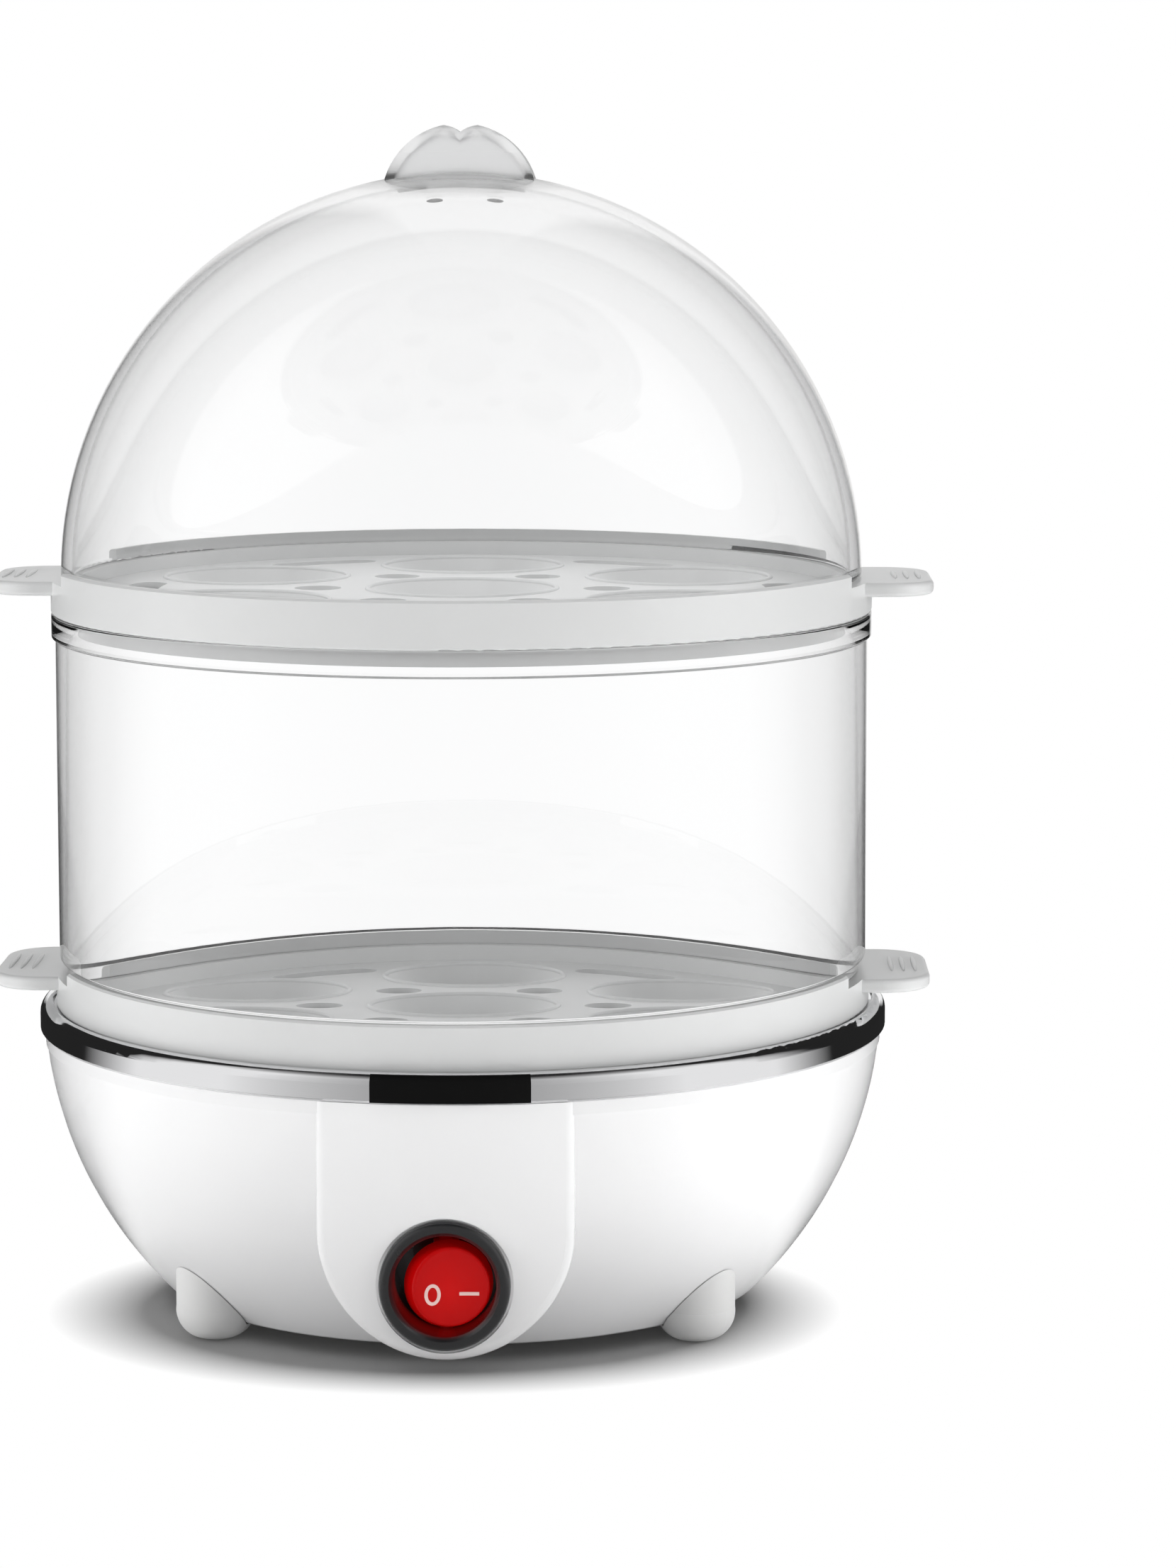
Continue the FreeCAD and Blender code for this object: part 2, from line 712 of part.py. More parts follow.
def cover_screw():
    """Return one countersunk screw, on +X, its head flush with the cover."""
    x = screw_pitch_radius
    head = Part.makeCone(screw_head_radius, screw_radius, screw_head_height,
                         at(x, 0, cover_bottom_z))
    shank = upright(screw_radius - screw_bite, cover_bottom_z + screw_head_height,
                    cover_bottom_z + screw_length, x)
    slot = block(x - screw_head_radius, x + screw_head_radius, -screw_slot_width / 2.0,
                 screw_slot_width / 2.0, cover_bottom_z, cover_bottom_z + screw_slot_depth)
    return joined([head, shank]).cut([slot, turned(slot, 90.0, at(x, 0, 0))])


def cover_screws():
    """Return the cover's screws."""
    return Part.makeCompound(pattern(cover_screw(), screw_count, screw_angle))


# ---------------------------------------------------------------- steel dish and seal
def heating_dish():
    """Return the pressed steel dish: water pan, tray seat, rolled band and welded studs."""
    corners = [(section_point(0, dish_floor_z), 0.0),
               (section_point(dish_floor_radius, dish_floor_z), dish_floor_round),
               (section_point(dish_inner_radius, tray_seat_z - dish_straight), dish_floor_round),
               (section_point(dish_inner_radius, tray_seat_z), 0.0),
               (section_point(seat_outer_radius, tray_seat_z), 0.0),
               (section_point(seat_outer_radius + band_lean, band_top_z), 0.0),
               (section_point(band_radius, band_top_z), band_round),
               (section_point(band_radius, bowl_top_z + band_hem), 0.0),
               (section_point(band_radius - band_hem, bowl_top_z), 0.0)]
    dish = revolved(sheet_section(corners, sheet))
    stud = upright(stud_radius, dish_under_z - stud_length, dish_under_z, stud_pitch_radius)
    return dish.fuse(pattern(stud, stud_count, stud_angle)).removeSplitter()


def dish_seal():
    """Return the silicone ring between the housing's lip and the dish."""
    middle = (lip_inner_radius + seat_outer_radius) / 2.0
    return tube(middle - seal_width / 2.0, middle + seal_width / 2.0, lip_top_z,
                tray_seat_z - sheet)


def hexagon_nut(bottom):
    """Return one nut on +X, its underside at the given height."""
    corner = nut_across_flats / 2.0 / math.cos(math.pi / 6.0)
    points = [polar_point(corner, 60.0 * k, bottom) + at(stud_pitch_radius, 0)
              for k in range(6)]
    nut = extruded(outline(points), AXIS * nut_height)
    return nut.cut(upright(stud_radius + screw_bite, bottom, bottom + nut_height,
                           stud_pitch_radius))


def dish_nuts():
    """Return the nuts under the housing's arms."""
    bottom = arm_bottom_z - washer_thickness - nut_height
    return Part.makeCompound(pattern(hexagon_nut(bottom), stud_count, stud_angle))


def dish_washers():
    """Return the washers between the nuts and the arms."""
    bottom = arm_bottom_z - washer_thickness
    washer = upright(washer_radius, bottom, arm_bottom_z, stud_pitch_radius).cut(
        upright(stud_radius + washer_clearance, bottom, arm_bottom_z, stud_pitch_radius))
    return Part.makeCompound(pattern(washer, stud_count, stud_angle))


# ---------------------------------------------------------------- heater
def heat_spreader():
    """Return the aluminium disc under the dish, with the thermostat's hole and two posts."""
    disc = tube(spreader_hole_radius, spreader_radius, spreader_bottom_z, dish_under_z)
    posts = [upright(strap_post_radius, strap_bottom_z - strap_nut_height, spreader_bottom_z,
                     sign * strap_reach) for sign in (-1, 1)]
    return joined([disc] + posts)


def heating_element():
    """Return the sheathed heating element, an open loop under the spreader."""
    centre = polar_point(element_loop_radius, 90.0 + element_gap_angle / 2.0, element_z)
    section = Part.Circle(centre, turning_direction(centre), element_radius).toShape()
    return Part.Face(Part.Wire(section)).revolve(CENTRE, AXIS, 360.0 - element_gap_angle)


def element_pins():
    """Return the two cold pins that leave the element's ends."""
    pins = []
    for sign in (-1, 1):
        start = polar_point(element_loop_radius, 90.0 + sign * element_gap_angle / 2.0,
                            element_z)
        inward = turning_direction(start) * -sign
        pins.append(Part.makeCylinder(element_pin_radius, element_pin_length, start, inward))
    return Part.makeCompound(pins)


def thermostat_strap():
    """Return the steel strap that presses the thermostat to the dish."""
    strap = round_ended_bar(strap_reach + strap_width / 2.0, strap_width / 2.0,
                            strap_bottom_z, strap_top_z)
    holes = [upright(strap_post_radius + strap_clearance, strap_bottom_z, strap_top_z,
                     sign * strap_reach) for sign in (-1, 1)]
    holes.append(upright(thermostat_body_radius + strap_clearance, strap_bottom_z, strap_top_z))
    eye = upright(thermostat_body_radius + strap_eye_wall, strap_bottom_z, strap_top_z)
    return joined([strap, eye]).cut(holes)


def strap_nuts():
    """Return the press nuts that hold the strap on the spreader's posts."""
    nuts = []
    for sign in (-1, 1):
        outer = upright(strap_nut_radius, strap_bottom_z - strap_nut_height, strap_bottom_z,
                        sign * strap_reach)
        nuts.append(outer.cut(upright(strap_post_radius + screw_bite, 0.0, strap_bottom_z,
                                      sign * strap_reach)))
    return Part.makeCompound(nuts)


def thermostat():
    """Return the thermostat: its cap against the dish and its body below the strap."""
    cap = upright(thermostat_cap_radius, strap_top_z, dish_under_z)
    body = upright(thermostat_body_radius, strap_bottom_z - thermostat_body_height, strap_top_z)
    return joined([cap, body])


def thermostat_tabs():
    """Return the two tabs under the thermostat."""
    top = strap_bottom_z - thermostat_body_height
    tabs = []
    for sign in (-1, 1):
        y = sign * thermostat_tab_offset
        tab = block(-tab_width / 2.0, tab_width / 2.0, y - tab_thickness / 2.0,
                    y + tab_thickness / 2.0, top - thermostat_tab_length, top)
        hole = across(tab_hole_radius, y - tab_thickness, y + tab_thickness,
                      top - thermostat_tab_length + tab_hole_offset)
        tabs.append(tab.cut(hole))
    return Part.makeCompound(tabs)


def thermal_fuse():
    """Return the thermal fuse, in its sleeve against the spreader."""
    z = spreader_bottom_z - fuse_radius
    return Part.makeCylinder(fuse_radius, fuse_length, at(-fuse_length / 2.0, -fuse_offset, z),
                             RIGHT)


# ---------------------------------------------------------------- wiring inside the base
def pole_places():
    """Return the x of each of the terminal block's poles."""
    return [block_pole_pitch * (k - (block_pole_count - 1) / 2.0)
            for k in range(block_pole_count)]


def terminal_block():
    """Return the terminal block on the cover, with its wire holes and screw wells."""
    body = block(-block_width / 2.0, block_width / 2.0, block_y - block_depth / 2.0,
                 block_y + block_depth / 2.0, cover_top_z, cover_top_z + block_height)
    tools = []
    for x in pole_places():
        tools.append(across(block_wire_radius, block_y - block_depth, block_y + block_depth,
                            block_well_z, x))
        tools.append(upright(block_screw_radius + block_well_clearance, block_well_z,
                             cover_top_z + block_height, x, block_y))
    return body.cut(tools)


def terminal_screws():
    """Return the terminal block's screws."""
    low = block_well_z + block_screw_gap
    return Part.makeCompound([upright(block_screw_radius, low, low + block_screw_length, x,
                                      block_y) for x in pole_places()])


def cord_clamp():
    """Return the saddle that anchors the mains cord to the cover's two posts."""
    low = cover_top_z + clamp_post_height
    bar = block(-clamp_width / 2.0, clamp_width / 2.0, clamp_y - clamp_depth / 2.0,
                clamp_y + clamp_depth / 2.0, low, low + clamp_height)
    return bar.cut(across(clamp_arch_radius, clamp_y - clamp_depth, clamp_y + clamp_depth, low))


def cord_gland():
    """Return the rubber gland in the back of the housing, open for the mains cord."""
    back = gland_face_y - gland_wall
    low = back - gland_flange_thickness
    high = gland_face_y + gland_flange_thickness
    outer = joined([across(gland_neck_radius, low, high, gland_z),
                    across(gland_flange_radius, gland_face_y, high, gland_z),
                    across(gland_back_radius, low, back, gland_z)])
    return outer.cut(across(gland_bore_radius, low, high, gland_z))


# ---------------------------------------------------------------- rocker switch
def switch_body():
    """Return the switch's case: round bezel, barrel, pivot holes and snap wings."""
    bezel = across(bezel_radius, bezel_front_y, seat_face_y, switch_z)
    front = [e for e in bezel.Edges if abs(e.BoundBox.YMax - bezel_front_y) < NEAR]
    bezel = bezel.makeFillet(bezel_round, front)
    barrel = across(barrel_radius, seat_face_y, barrel_end_y, switch_z)
    wings = [snap_wing(sign) for sign in (-1, 1)]
    body = joined([bezel, barrel] + wings)
    tools = [across(barrel_bore_radius, bezel_front_y, barrel_floor_y, switch_z),
             Part.makeCone(barrel_bore_radius + bezel_slope, barrel_bore_radius, bezel_slope,
                           at(0, bezel_front_y, switch_z), BACK),
             upright(pivot_radius + pivot_clearance, switch_z - barrel_radius,
                     switch_z + barrel_radius, 0.0, pivot_y)]
    half_slot = tab_thickness / 2.0 + tab_clearance
    half_width = tab_width / 2.0 + tab_clearance
    tools += [block(x - half_slot, x + half_slot, barrel_floor_y, barrel_end_y,
                    switch_z - half_width, switch_z + half_width) for x in tab_places()]
    return body.cut(tools)


def snap_wing(sign):
    """Return the springy wedge that holds the barrel behind the panel on one side."""
    start = panel_back_y + snap_wing_gap
    root = sign * (barrel_radius - snap_wing_root)
    tip = sign * (barrel_radius + snap_wing_reach)
    low = switch_z - snap_wing_width / 2.0
    points = [at(root, start, low), at(tip, start, low), at(root, start + snap_wing_length, low)]
    return extruded(outline(points), AXIS * snap_wing_width)


def tab_places():
    """Return the x of each of the switch's tabs."""
    return [tab_spacing * k for k in (-1, 0, 1)]


def switch_tabs():
    """Return the brass tabs behind the switch."""
    tabs = []
    for x in tab_places():
        tab = block(x - tab_thickness / 2.0, x + tab_thickness / 2.0, barrel_floor_y,
                    barrel_end_y + tab_length, switch_z - tab_width / 2.0,
                    switch_z + tab_width / 2.0)
        hole = Part.makeCylinder(tab_hole_radius, tab_thickness * 2.0,
                                 at(x - tab_thickness, barrel_end_y + tab_length - tab_hole_offset,
                                    switch_z), RIGHT)
        tabs.append(tab.cut(hole))
    return Part.makeCompound(tabs)


def switch_lamp():
    """Return the neon lamp that lies behind the rocker on the case's floor."""
    return upright(lamp_radius, switch_z - lamp_length / 2.0, switch_z + lamp_length / 2.0,
                   0.0, barrel_floor_y - lamp_radius)


def switch_rocker():
    """Return the rocker with its cap, hub, pivots and plunger, the right half pressed."""
    face_y = pivot_y - rocker_depth
    rise = rocker_face_radius * math.tan(tilt)
    back_y = face_y + rocker_skirt
    cap = Part.makeCone(rocker_base_radius, rocker_face_radius, rocker_skirt + rise,
                        at(0, back_y, switch_z), BACK * -1.0)
    hollow_radius = (rocker_face_radius ** 2 + rise ** 2) / (2.0 * rise)
    hollow = upright(hollow_radius, switch_z - barrel_radius, switch_z + barrel_radius,
                     0.0, face_y - hollow_radius)
    cap = cap.cut(hollow)
    rim = [e for e in cap.Edges if e.BoundBox.YMax < face_y + NEAR
           and e.BoundBox.XLength > rocker_face_radius]
    cap = cap.makeFillet(rocker_round, rim)
    hub_low = switch_z - rocker_half_hub
    hub_high = switch_z + rocker_half_hub
    hub = joined([upright(rocker_hub_half, hub_low, hub_high, 0.0, pivot_y),
                  block(-rocker_hub_half, rocker_hub_half, back_y - rocker_round, pivot_y,
                        hub_low, hub_high)])
    pin_half = barrel_radius - pivot_end_gap
    pin = upright(pivot_radius, switch_z - pin_half, switch_z + pin_half, 0.0, pivot_y)
    plunger = across(plunger_radius, pivot_y, pivot_y + plunger_length, switch_z)
    rocker = joined([cap, hub, pin, plunger])
    return turned(rocker, rocker_tilt, at(0, pivot_y, 0))


# ---------------------------------------------------------------- trays, ring and lid
def tray_section():
    """Return the half section of a tray's rim, ledge, spigot and floor, from its rim's base."""
    ledge_low = tray_ledge_height - tray_wall
    return rounded_section([
        (0, tray_floor_low, 0.0),
        (ledge_inner_radius, tray_floor_low, 0.0),
        (ledge_inner_radius, -tray_spigot_depth, 0.0),
        (tray_spigot_radius, -tray_spigot_depth, 0.0),
        (tray_spigot_radius, ledge_low, 0.0),
        (ledge_outer_radius, ledge_low, 0.0),
        (ledge_outer_radius, 0, 0.0),
        (tray_radius, 0, tray_edge_round),
        (tray_radius, tray_rim_height - tray_rim_chamfer, 0.0),
        (tray_radius - tray_rim_chamfer, tray_rim_height, 0.0),
        (ledge_outer_radius, tray_rim_height, 0.0),
        (ledge_outer_radius, tray_ledge_height, 0.0),
        (ledge_inner_radius, tray_ledge_height, 0.0),
        (ledge_inner_radius, tray_floor_height, 0.0),
        (0, tray_floor_height, 0.0)])


def seat_cup(x):
    """Return an egg seat's outer cone, under the tray's floor at x."""
    return Part.makeCone(seat_hole_radius + tray_wall, seat_mouth_radius + tray_wall,
                         seat_depth, at(x, 0, tray_floor_height - seat_depth))


def seat_opening(x):
    """Return the cone that an egg sits in, at x."""
    return Part.makeCone(seat_hole_radius, seat_mouth_radius, seat_depth,
                         at(x, 0, tray_floor_height - seat_depth))


def edge_slot():
    """Return one curved steam slot, centred on +X."""
    half = slot_width / 2.0
    low = tray_floor_low - tray_wall
    high = tray_floor_height + tray_wall
    band = tube(slot_radius - half, slot_radius + half, low, high)
    sector = Part.makeCylinder(slot_radius + slot_width, high - low, section_point(0, low), AXIS,
                               2.0 * slot_half_angle)
    ends = [turned(upright(half, low, high, slot_radius), angle)
            for angle in (-slot_half_angle, slot_half_angle)]
    return joined([band.common(turned(sector, -slot_half_angle))] + ends)


def ear():
    """Return one lifting ear, on +X, with softened edges."""
    low = tray_ledge_height - ear_thickness
    plate = rounded_plate(tray_radius + ear_length, ear_half_width, ear_corner, low,
                          tray_ledge_height)
    rims = [e for e in plate.Edges if e.BoundBox.ZLength < NEAR]
    plate = plate.makeFillet(ear_edge_round, rims)
    outside = block(0.0, FAR, -FAR, FAR, low, tray_ledge_height).cut(
        upright(ledge_outer_radius + tray_wall / 2.0, low, tray_ledge_height))
    return plate.common(outside)


def egg_tray(base_z):
    """Return a tray whose rim stands at the given height."""
    cups = [seat_cup(0.0)] + pattern(seat_cup(seat_ring_radius), seat_count, seat_first_angle)
    body = revolved(tray_section()).fuse(cups + pattern(ear(), 2))
    tools = [seat_opening(0.0)]
    tools += pattern(seat_opening(seat_ring_radius), seat_count, seat_first_angle)
    half_step = 180.0 / seat_count
    tools += pattern(edge_slot(), seat_count, seat_first_angle + half_step)
    drain = upright(drain_hole_radius, 0.0, tray_rim_height, drain_ring_radius)
    tools += pattern(drain, seat_count, seat_first_angle + half_step)
    saddle = block(ledge_outer_radius / 2.0, FAR, -saddle_half_width, saddle_half_width,
                   tray_ledge_height, FAR)
    tools += pattern(saddle, 2)
    tray = body.cut(tools).removeSplitter()
    tray.translate(at(0, 0, base_z))
    return tray


def middle_ring():
    """Return the clear ring between the trays, with its top flange and lower spigot."""
    inner = ring_outer_radius - ring_wall
    shoulder_z = ring_bottom_z + tray_rim_height - tray_ledge_height + ring_shoulder_gap
    spigot = ledge_outer_radius - ring_spigot_clearance
    flange_z = ring_top_z - ring_flange_height
    return revolved(rounded_section([
        (inner, ring_bottom_z, 0.0),
        (spigot, ring_bottom_z, 0.0),
        (spigot, shoulder_z, 0.0),
        (ring_outer_radius, shoulder_z, 0.0),
        (ring_outer_radius, flange_z, 0.0),
        (tray_radius, flange_z, ring_flange_round),
        (tray_radius, ring_top_z, ring_flange_round),
        (inner, ring_top_z, 0.0)]))


def dome_section(radius):
    """Return the quarter section of a dome of the given radius, down to its rounded rim."""
    low_z = lid_base_z + lid_wall / 2.0
    centre = section_point(0, lid_base_z)
    side = arc_point(centre, radius, low_z)
    top = section_point(0, lid_base_z + radius)
    middle = section_point(radius * math.sqrt(0.5), lid_base_z + radius * math.sqrt(0.5))
    base = section_point(0, low_z)
    return [line(base, side), arc(side, middle, top), line(top, base)]


def dome_rim():
    """Return the half-round rim that closes the dome's wall below."""
    low_z = lid_base_z + lid_wall / 2.0
    centre = section_point(0, lid_base_z)
    outer = arc_point(centre, lid_radius, low_z)
    inner = arc_point(centre, lid_radius - lid_wall, low_z)
    lowest = section_point(lid_radius - lid_wall / 2.0, lid_base_z)
    return revolved([line(inner, outer), arc(outer, lowest, inner)])


def grip_body(inset):
    """Return the grip's two-lobed form, smaller by inset."""
    foot_z = lid_base_z + math.sqrt(lid_radius ** 2 - grip_half_width ** 2)
    low = foot_z - grip_sink
    half = grip_half_width - inset
    slant = inset * math.sqrt(0.5)
    peak_z = foot_z + grip_height - inset
    edges = [line(at(-half, -FAR, low), at(half, -FAR, low))]
    for sign in (-1, 1):
        foot_point = at(sign * half, -FAR, foot_z)
        flank = at(sign * (grip_flank_half - slant), -FAR, foot_z + grip_flank_rise - slant)
        lobe = at(sign * grip_lobe_x, -FAR, peak_z)
        edges.append(line(at(sign * half, -FAR, low), foot_point))
        edges.append(arc(foot_point, flank, lobe))
        edges.append(arc(lobe, at(sign * grip_lobe_side, -FAR, peak_z - grip_lobe_drop),
                         at(0, -FAR, peak_z - grip_notch_depth)))
    front_form = extruded(edges, BACK * (2.0 * FAR))
    base_half = grip_half_depth - inset
    top_half = grip_top_half_depth - inset
    corner_z = peak_z - top_half
    low_front = at(-FAR, -base_half, low)
    low_back = at(-FAR, base_half, low)
    top_front = at(-FAR, -top_half, corner_z)
    top_back = at(-FAR, top_half, corner_z)
    side_form = extruded([line(low_front, low_back), line(low_back, top_back),
                          arc(top_back, at(-FAR, 0, peak_z), top_front),
                          line(top_front, low_front)], RIGHT * (2.0 * FAR))
    return front_form.common(side_form)


def dome_lid():
    """Return the clear lid: a hemispherical shell, its hollow grip and two steam vents."""
    outer = revolved(dome_section(lid_radius))
    inner = revolved(dome_section(lid_radius - lid_wall))
    shell = outer.fuse(grip_body(0.0)).cut([inner, grip_body(grip_wall)])
    vent = upright(vent_hole_radius, lid_base_z, lid_base_z + 2.0 * lid_radius)
    vent = turned(vent, -vent_hole_angle, section_point(0, lid_base_z), RIGHT)
    vents = [turned(vent, sign * vent_hole_spread) for sign in (-1, 1)]
    return shell.cut(vents).fuse(dome_rim()).removeSplitter()


# ---------------------------------------------------------------- export
PIECES = {
    "base_housing": base_housing,
    "feet": feet,
    "bottom_cover": bottom_cover,
    "cover_screws": cover_screws,
    "heating_dish": heating_dish,
    "dish_seal": dish_seal,
    "dish_nuts": dish_nuts,
    "dish_washers": dish_washers,
    "heat_spreader": heat_spreader,
    "heating_element": heating_element,
    "element_pins": element_pins,
    "thermostat": thermostat,
    "thermostat_tabs": thermostat_tabs,
    "thermostat_strap": thermostat_strap,
    "strap_nuts": strap_nuts,
    "thermal_fuse": thermal_fuse,
    "terminal_block": terminal_block,
    "terminal_screws": terminal_screws,
    "cord_clamp": cord_clamp,
    "cord_gland": cord_gland,
    "switch_body": switch_body,
    "switch_tabs": switch_tabs,
    "switch_lamp": switch_lamp,
    "switch_rocker": switch_rocker,
    "lower_tray": lambda: egg_tray(tray_seat_z),
    "middle_ring": middle_ring,
    "upper_tray": lambda: egg_tray(ring_top_z),
    "dome_lid": dome_lid,
}

os.makedirs("parts", exist_ok=True)
for name, make in PIECES.items():
    make().exportStep("parts/" + name + ".step")
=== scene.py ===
"""Studio scene of a two-layer electric egg boiler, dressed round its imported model.

Lengths are in metres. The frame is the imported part's own: +Z runs up the common axis of
bowl, trays and lid, the rocker switch faces -Y and the tray ears point along +X and -X.
"""

import json
import logging
import math
from dataclasses import dataclass
from enum import Enum
from typing import Any, Callable, Sequence

import bmesh
import bpy
from bmesh.types import BMesh, BMVert
from bpy.types import (ID, Material, Mesh, Node, NodeOutputs, NodeSocket, NodeTree,
                       NodeTreeInterfaceSocket, Object)
from mathutils import Matrix, Vector


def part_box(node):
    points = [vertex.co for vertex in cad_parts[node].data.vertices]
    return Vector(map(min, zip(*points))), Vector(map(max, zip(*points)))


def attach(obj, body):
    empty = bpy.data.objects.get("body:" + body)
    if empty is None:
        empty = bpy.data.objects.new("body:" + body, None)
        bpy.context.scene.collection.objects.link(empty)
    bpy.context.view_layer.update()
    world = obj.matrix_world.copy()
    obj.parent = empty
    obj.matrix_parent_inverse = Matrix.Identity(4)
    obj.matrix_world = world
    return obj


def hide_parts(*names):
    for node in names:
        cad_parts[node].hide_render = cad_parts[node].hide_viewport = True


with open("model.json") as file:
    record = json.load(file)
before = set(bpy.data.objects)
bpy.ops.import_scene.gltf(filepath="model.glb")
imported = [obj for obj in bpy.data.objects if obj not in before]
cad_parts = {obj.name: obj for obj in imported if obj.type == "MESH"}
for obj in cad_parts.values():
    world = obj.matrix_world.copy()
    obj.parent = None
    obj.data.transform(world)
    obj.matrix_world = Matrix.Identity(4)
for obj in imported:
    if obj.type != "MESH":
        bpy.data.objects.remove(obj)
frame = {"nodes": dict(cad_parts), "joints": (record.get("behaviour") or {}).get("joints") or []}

logging.basicConfig(level=logging.INFO, format="%(levelname)s %(message)s")
log = logging.getLogger("egg_boiler")

MM = 0.001
PHOTO_WIDTH = 1659
PHOTO_HEIGHT = 2212
Colour = tuple[float, float, float]


class Body(str, Enum):
    """The parts that move on their own."""

    BASE = "base"
    ROCKER = "rocker"
    LOWER_TRAY = "lower_tray"
    RING = "ring"
    UPPER_TRAY = "upper_tray"
    LID = "lid"


class Effect(Enum):
    """Surface effects that several finishes share, each built once as a node group."""

    GRAIN = "moulded_grain"
    HANDLING = "handling_marks"
    LATHE = "lathe_lines"
    WEAR = "contact_wear"
    SIDES = "dark_sides"


# ------------------------------------------------------------------ node tree helpers
class NodeSheet:
    """Adds and wires the nodes of one tree."""

    def __init__(self, tree: NodeTree) -> None:
        """Take the tree to work on."""
        self.tree = tree

    def add(self, kind: str, settings: dict[str, Any] | None = None, **inputs: Any) -> Node:
        """Add a node.

        Args:
            kind: Blender's name for the node type.
            settings: The node's own properties.
            inputs: Its sockets by name, underscores standing for spaces.

        Returns:
            The new node.
        """
        node = self.tree.nodes.new(kind)
        for key, value in (settings or {}).items():
            setattr(node, key, value)
        self.fill(node, **inputs)
        return node

    def step(self, kind: str, settings: dict[str, Any] | None = None,
             **inputs: Any) -> NodeSocket:
        """Add a node and return its first output."""
        return self.add(kind, settings, **inputs).outputs[0]

    def fill(self, node: Node, **inputs: Any) -> None:
        """Feed a node's inputs by name, underscores standing for spaces."""
        for key, value in inputs.items():
            self.feed(node.inputs[key.replace("_", " ")], value)

    def feed(self, socket: NodeSocket, value: Any) -> None:
        """Wire or set one input.

        Args:
            socket: The input.
            value: Another node's output, or a plain value.
        """
        if isinstance(value, NodeSocket):
            self.tree.links.new(value, socket)
        else:
            socket.default_value = value

    def add_socket(self, label: str, kind: str,
                   way: str = "INPUT") -> NodeTreeInterfaceSocket:
        """Add a socket to the tree itself, underscores standing for spaces."""
        return self.tree.interface.new_socket(label.replace("_", " "), in_out=way,
                                              socket_type="NodeSocket" + kind)

    def feed_all(self, node: Node, terms: Sequence[Any]) -> None:
        """Feed a node's first inputs in order."""
        for socket, term in zip(node.inputs, terms):
            self.feed(socket, term)

    def math(self, operation: str, *terms: Any) -> NodeSocket:
        """Add a Math node.

        Args:
            operation: The operation's name.
            terms: One to three outputs or numbers.

        Returns:
            The result's output.
        """
        node = self.add("ShaderNodeMath", {"operation": operation})
        self.feed_all(node, terms)
        return node.outputs[0]

    def times(self, first: Any, second: Any) -> NodeSocket:
        """Return the product of two outputs or numbers."""
        return self.math("MULTIPLY", first, second)

    def plus(self, first: Any, second: Any) -> NodeSocket:
        """Return the sum of two outputs or numbers."""
        return self.math("ADD", first, second)

    def minus(self, first: Any, second: Any) -> NodeSocket:
        """Return the first output or number less the second."""
        return self.math("SUBTRACT", first, second)

    def vector(self, operation: str, *terms: Any) -> NodeSocket:
        """Add a Vector Math node.

        Args:
            operation: The operation's name.
            terms: Outputs or plain vectors.

        Returns:
            The number's output for a length, the vector's for all else.
        """
        node = self.add("ShaderNodeVectorMath", {"operation": operation})
        self.feed_all(node, terms)
        return node.outputs["Value" if operation == "LENGTH" else "Vector"]

    def spot(self, x: Any = 0.0, y: Any = 0.0, z: Any = 0.0) -> NodeSocket:
        """Return a vector made of three outputs or numbers."""
        return self.step("ShaderNodeCombineXYZ", X=x, Y=y, Z=z)

    def split(self, vector: NodeSocket) -> NodeOutputs:
        """Return a vector's X, Y and Z as outputs."""
        return self.add("ShaderNodeSeparateXYZ", Vector=vector).outputs

    def level_length(self, parts: NodeOutputs) -> NodeSocket:
        """Return the length of a split vector in the level plane."""
        squares = [self.times(parts[axis], parts[axis]) for axis in "XY"]
        return self.math("SQRT", self.plus(*squares))

    def remap(self, value: Any, low: float = 0.0, high: float = 1.0, to_low: float = 0.0,
              to_high: float = 1.0) -> NodeSocket:
        """Map a value from one range to another, held at the ends."""
        return self.add("ShaderNodeMapRange", Value=value, From_Min=low, From_Max=high,
                        To_Min=to_low, To_Max=to_high).outputs["Result"]

    def effect(self, effect: Effect, **inputs: Any) -> NodeOutputs:
        """Place a shared effect group and return its outputs."""
        return self.add("ShaderNodeGroup", {"node_tree": effect_tree(effect)},
                        **inputs).outputs


# ------------------------------------------------------------------ shared surface effects
class EffectSheet(NodeSheet):
    """The node sheet of one shared effect, a group that works on a vector."""

    def __init__(self, effect: Effect, **defaults: float) -> None:
        """Start the group.

        Args:
            effect: Which effect it is.
            defaults: Its number inputs by name with their defaults, underscores
                standing for spaces.
        """
        super().__init__(bpy.data.node_groups.new(effect.value, "ShaderNodeTree"))
        self.add_socket("Vector", "Vector")
        for label, default in defaults.items():
            self.add_socket(label, "Float").default_value = default
        self.source = self.add("NodeGroupInput").outputs

    def noise(self, scale: Any, **inputs: float) -> NodeSocket:
        """Return a noise pattern over the group's vector."""
        return self.add("ShaderNodeTexNoise", Vector=self.source["Vector"], Scale=scale,
                        **inputs).outputs["Fac"]

    def close(self, **results: NodeSocket) -> NodeTree:
        """End the group.

        Args:
            results: What each of its outputs gives, by the output's name.

        Returns:
            The group's tree.
        """
        for label in results:
            self.add_socket(label, "Float", "OUTPUT")
        self.add("NodeGroupOutput", **results)
        return self.tree


def build_grain() -> NodeTree:
    """Fine orange peel and slow tone change of a moulded surface.

    Returns:
        The effect\'s tree.
    """
    tone_span = (0.3, 0.7)
    sheet = EffectSheet(Effect.GRAIN, Scale=900.0, Flow_Scale=18.0)
    fine = sheet.noise(sheet.source["Scale"], Detail=3.0)
    flow = sheet.noise(sheet.source["Flow Scale"], Detail=2.0)
    return sheet.close(Height=fine, Tone=sheet.remap(flow, *tone_span))


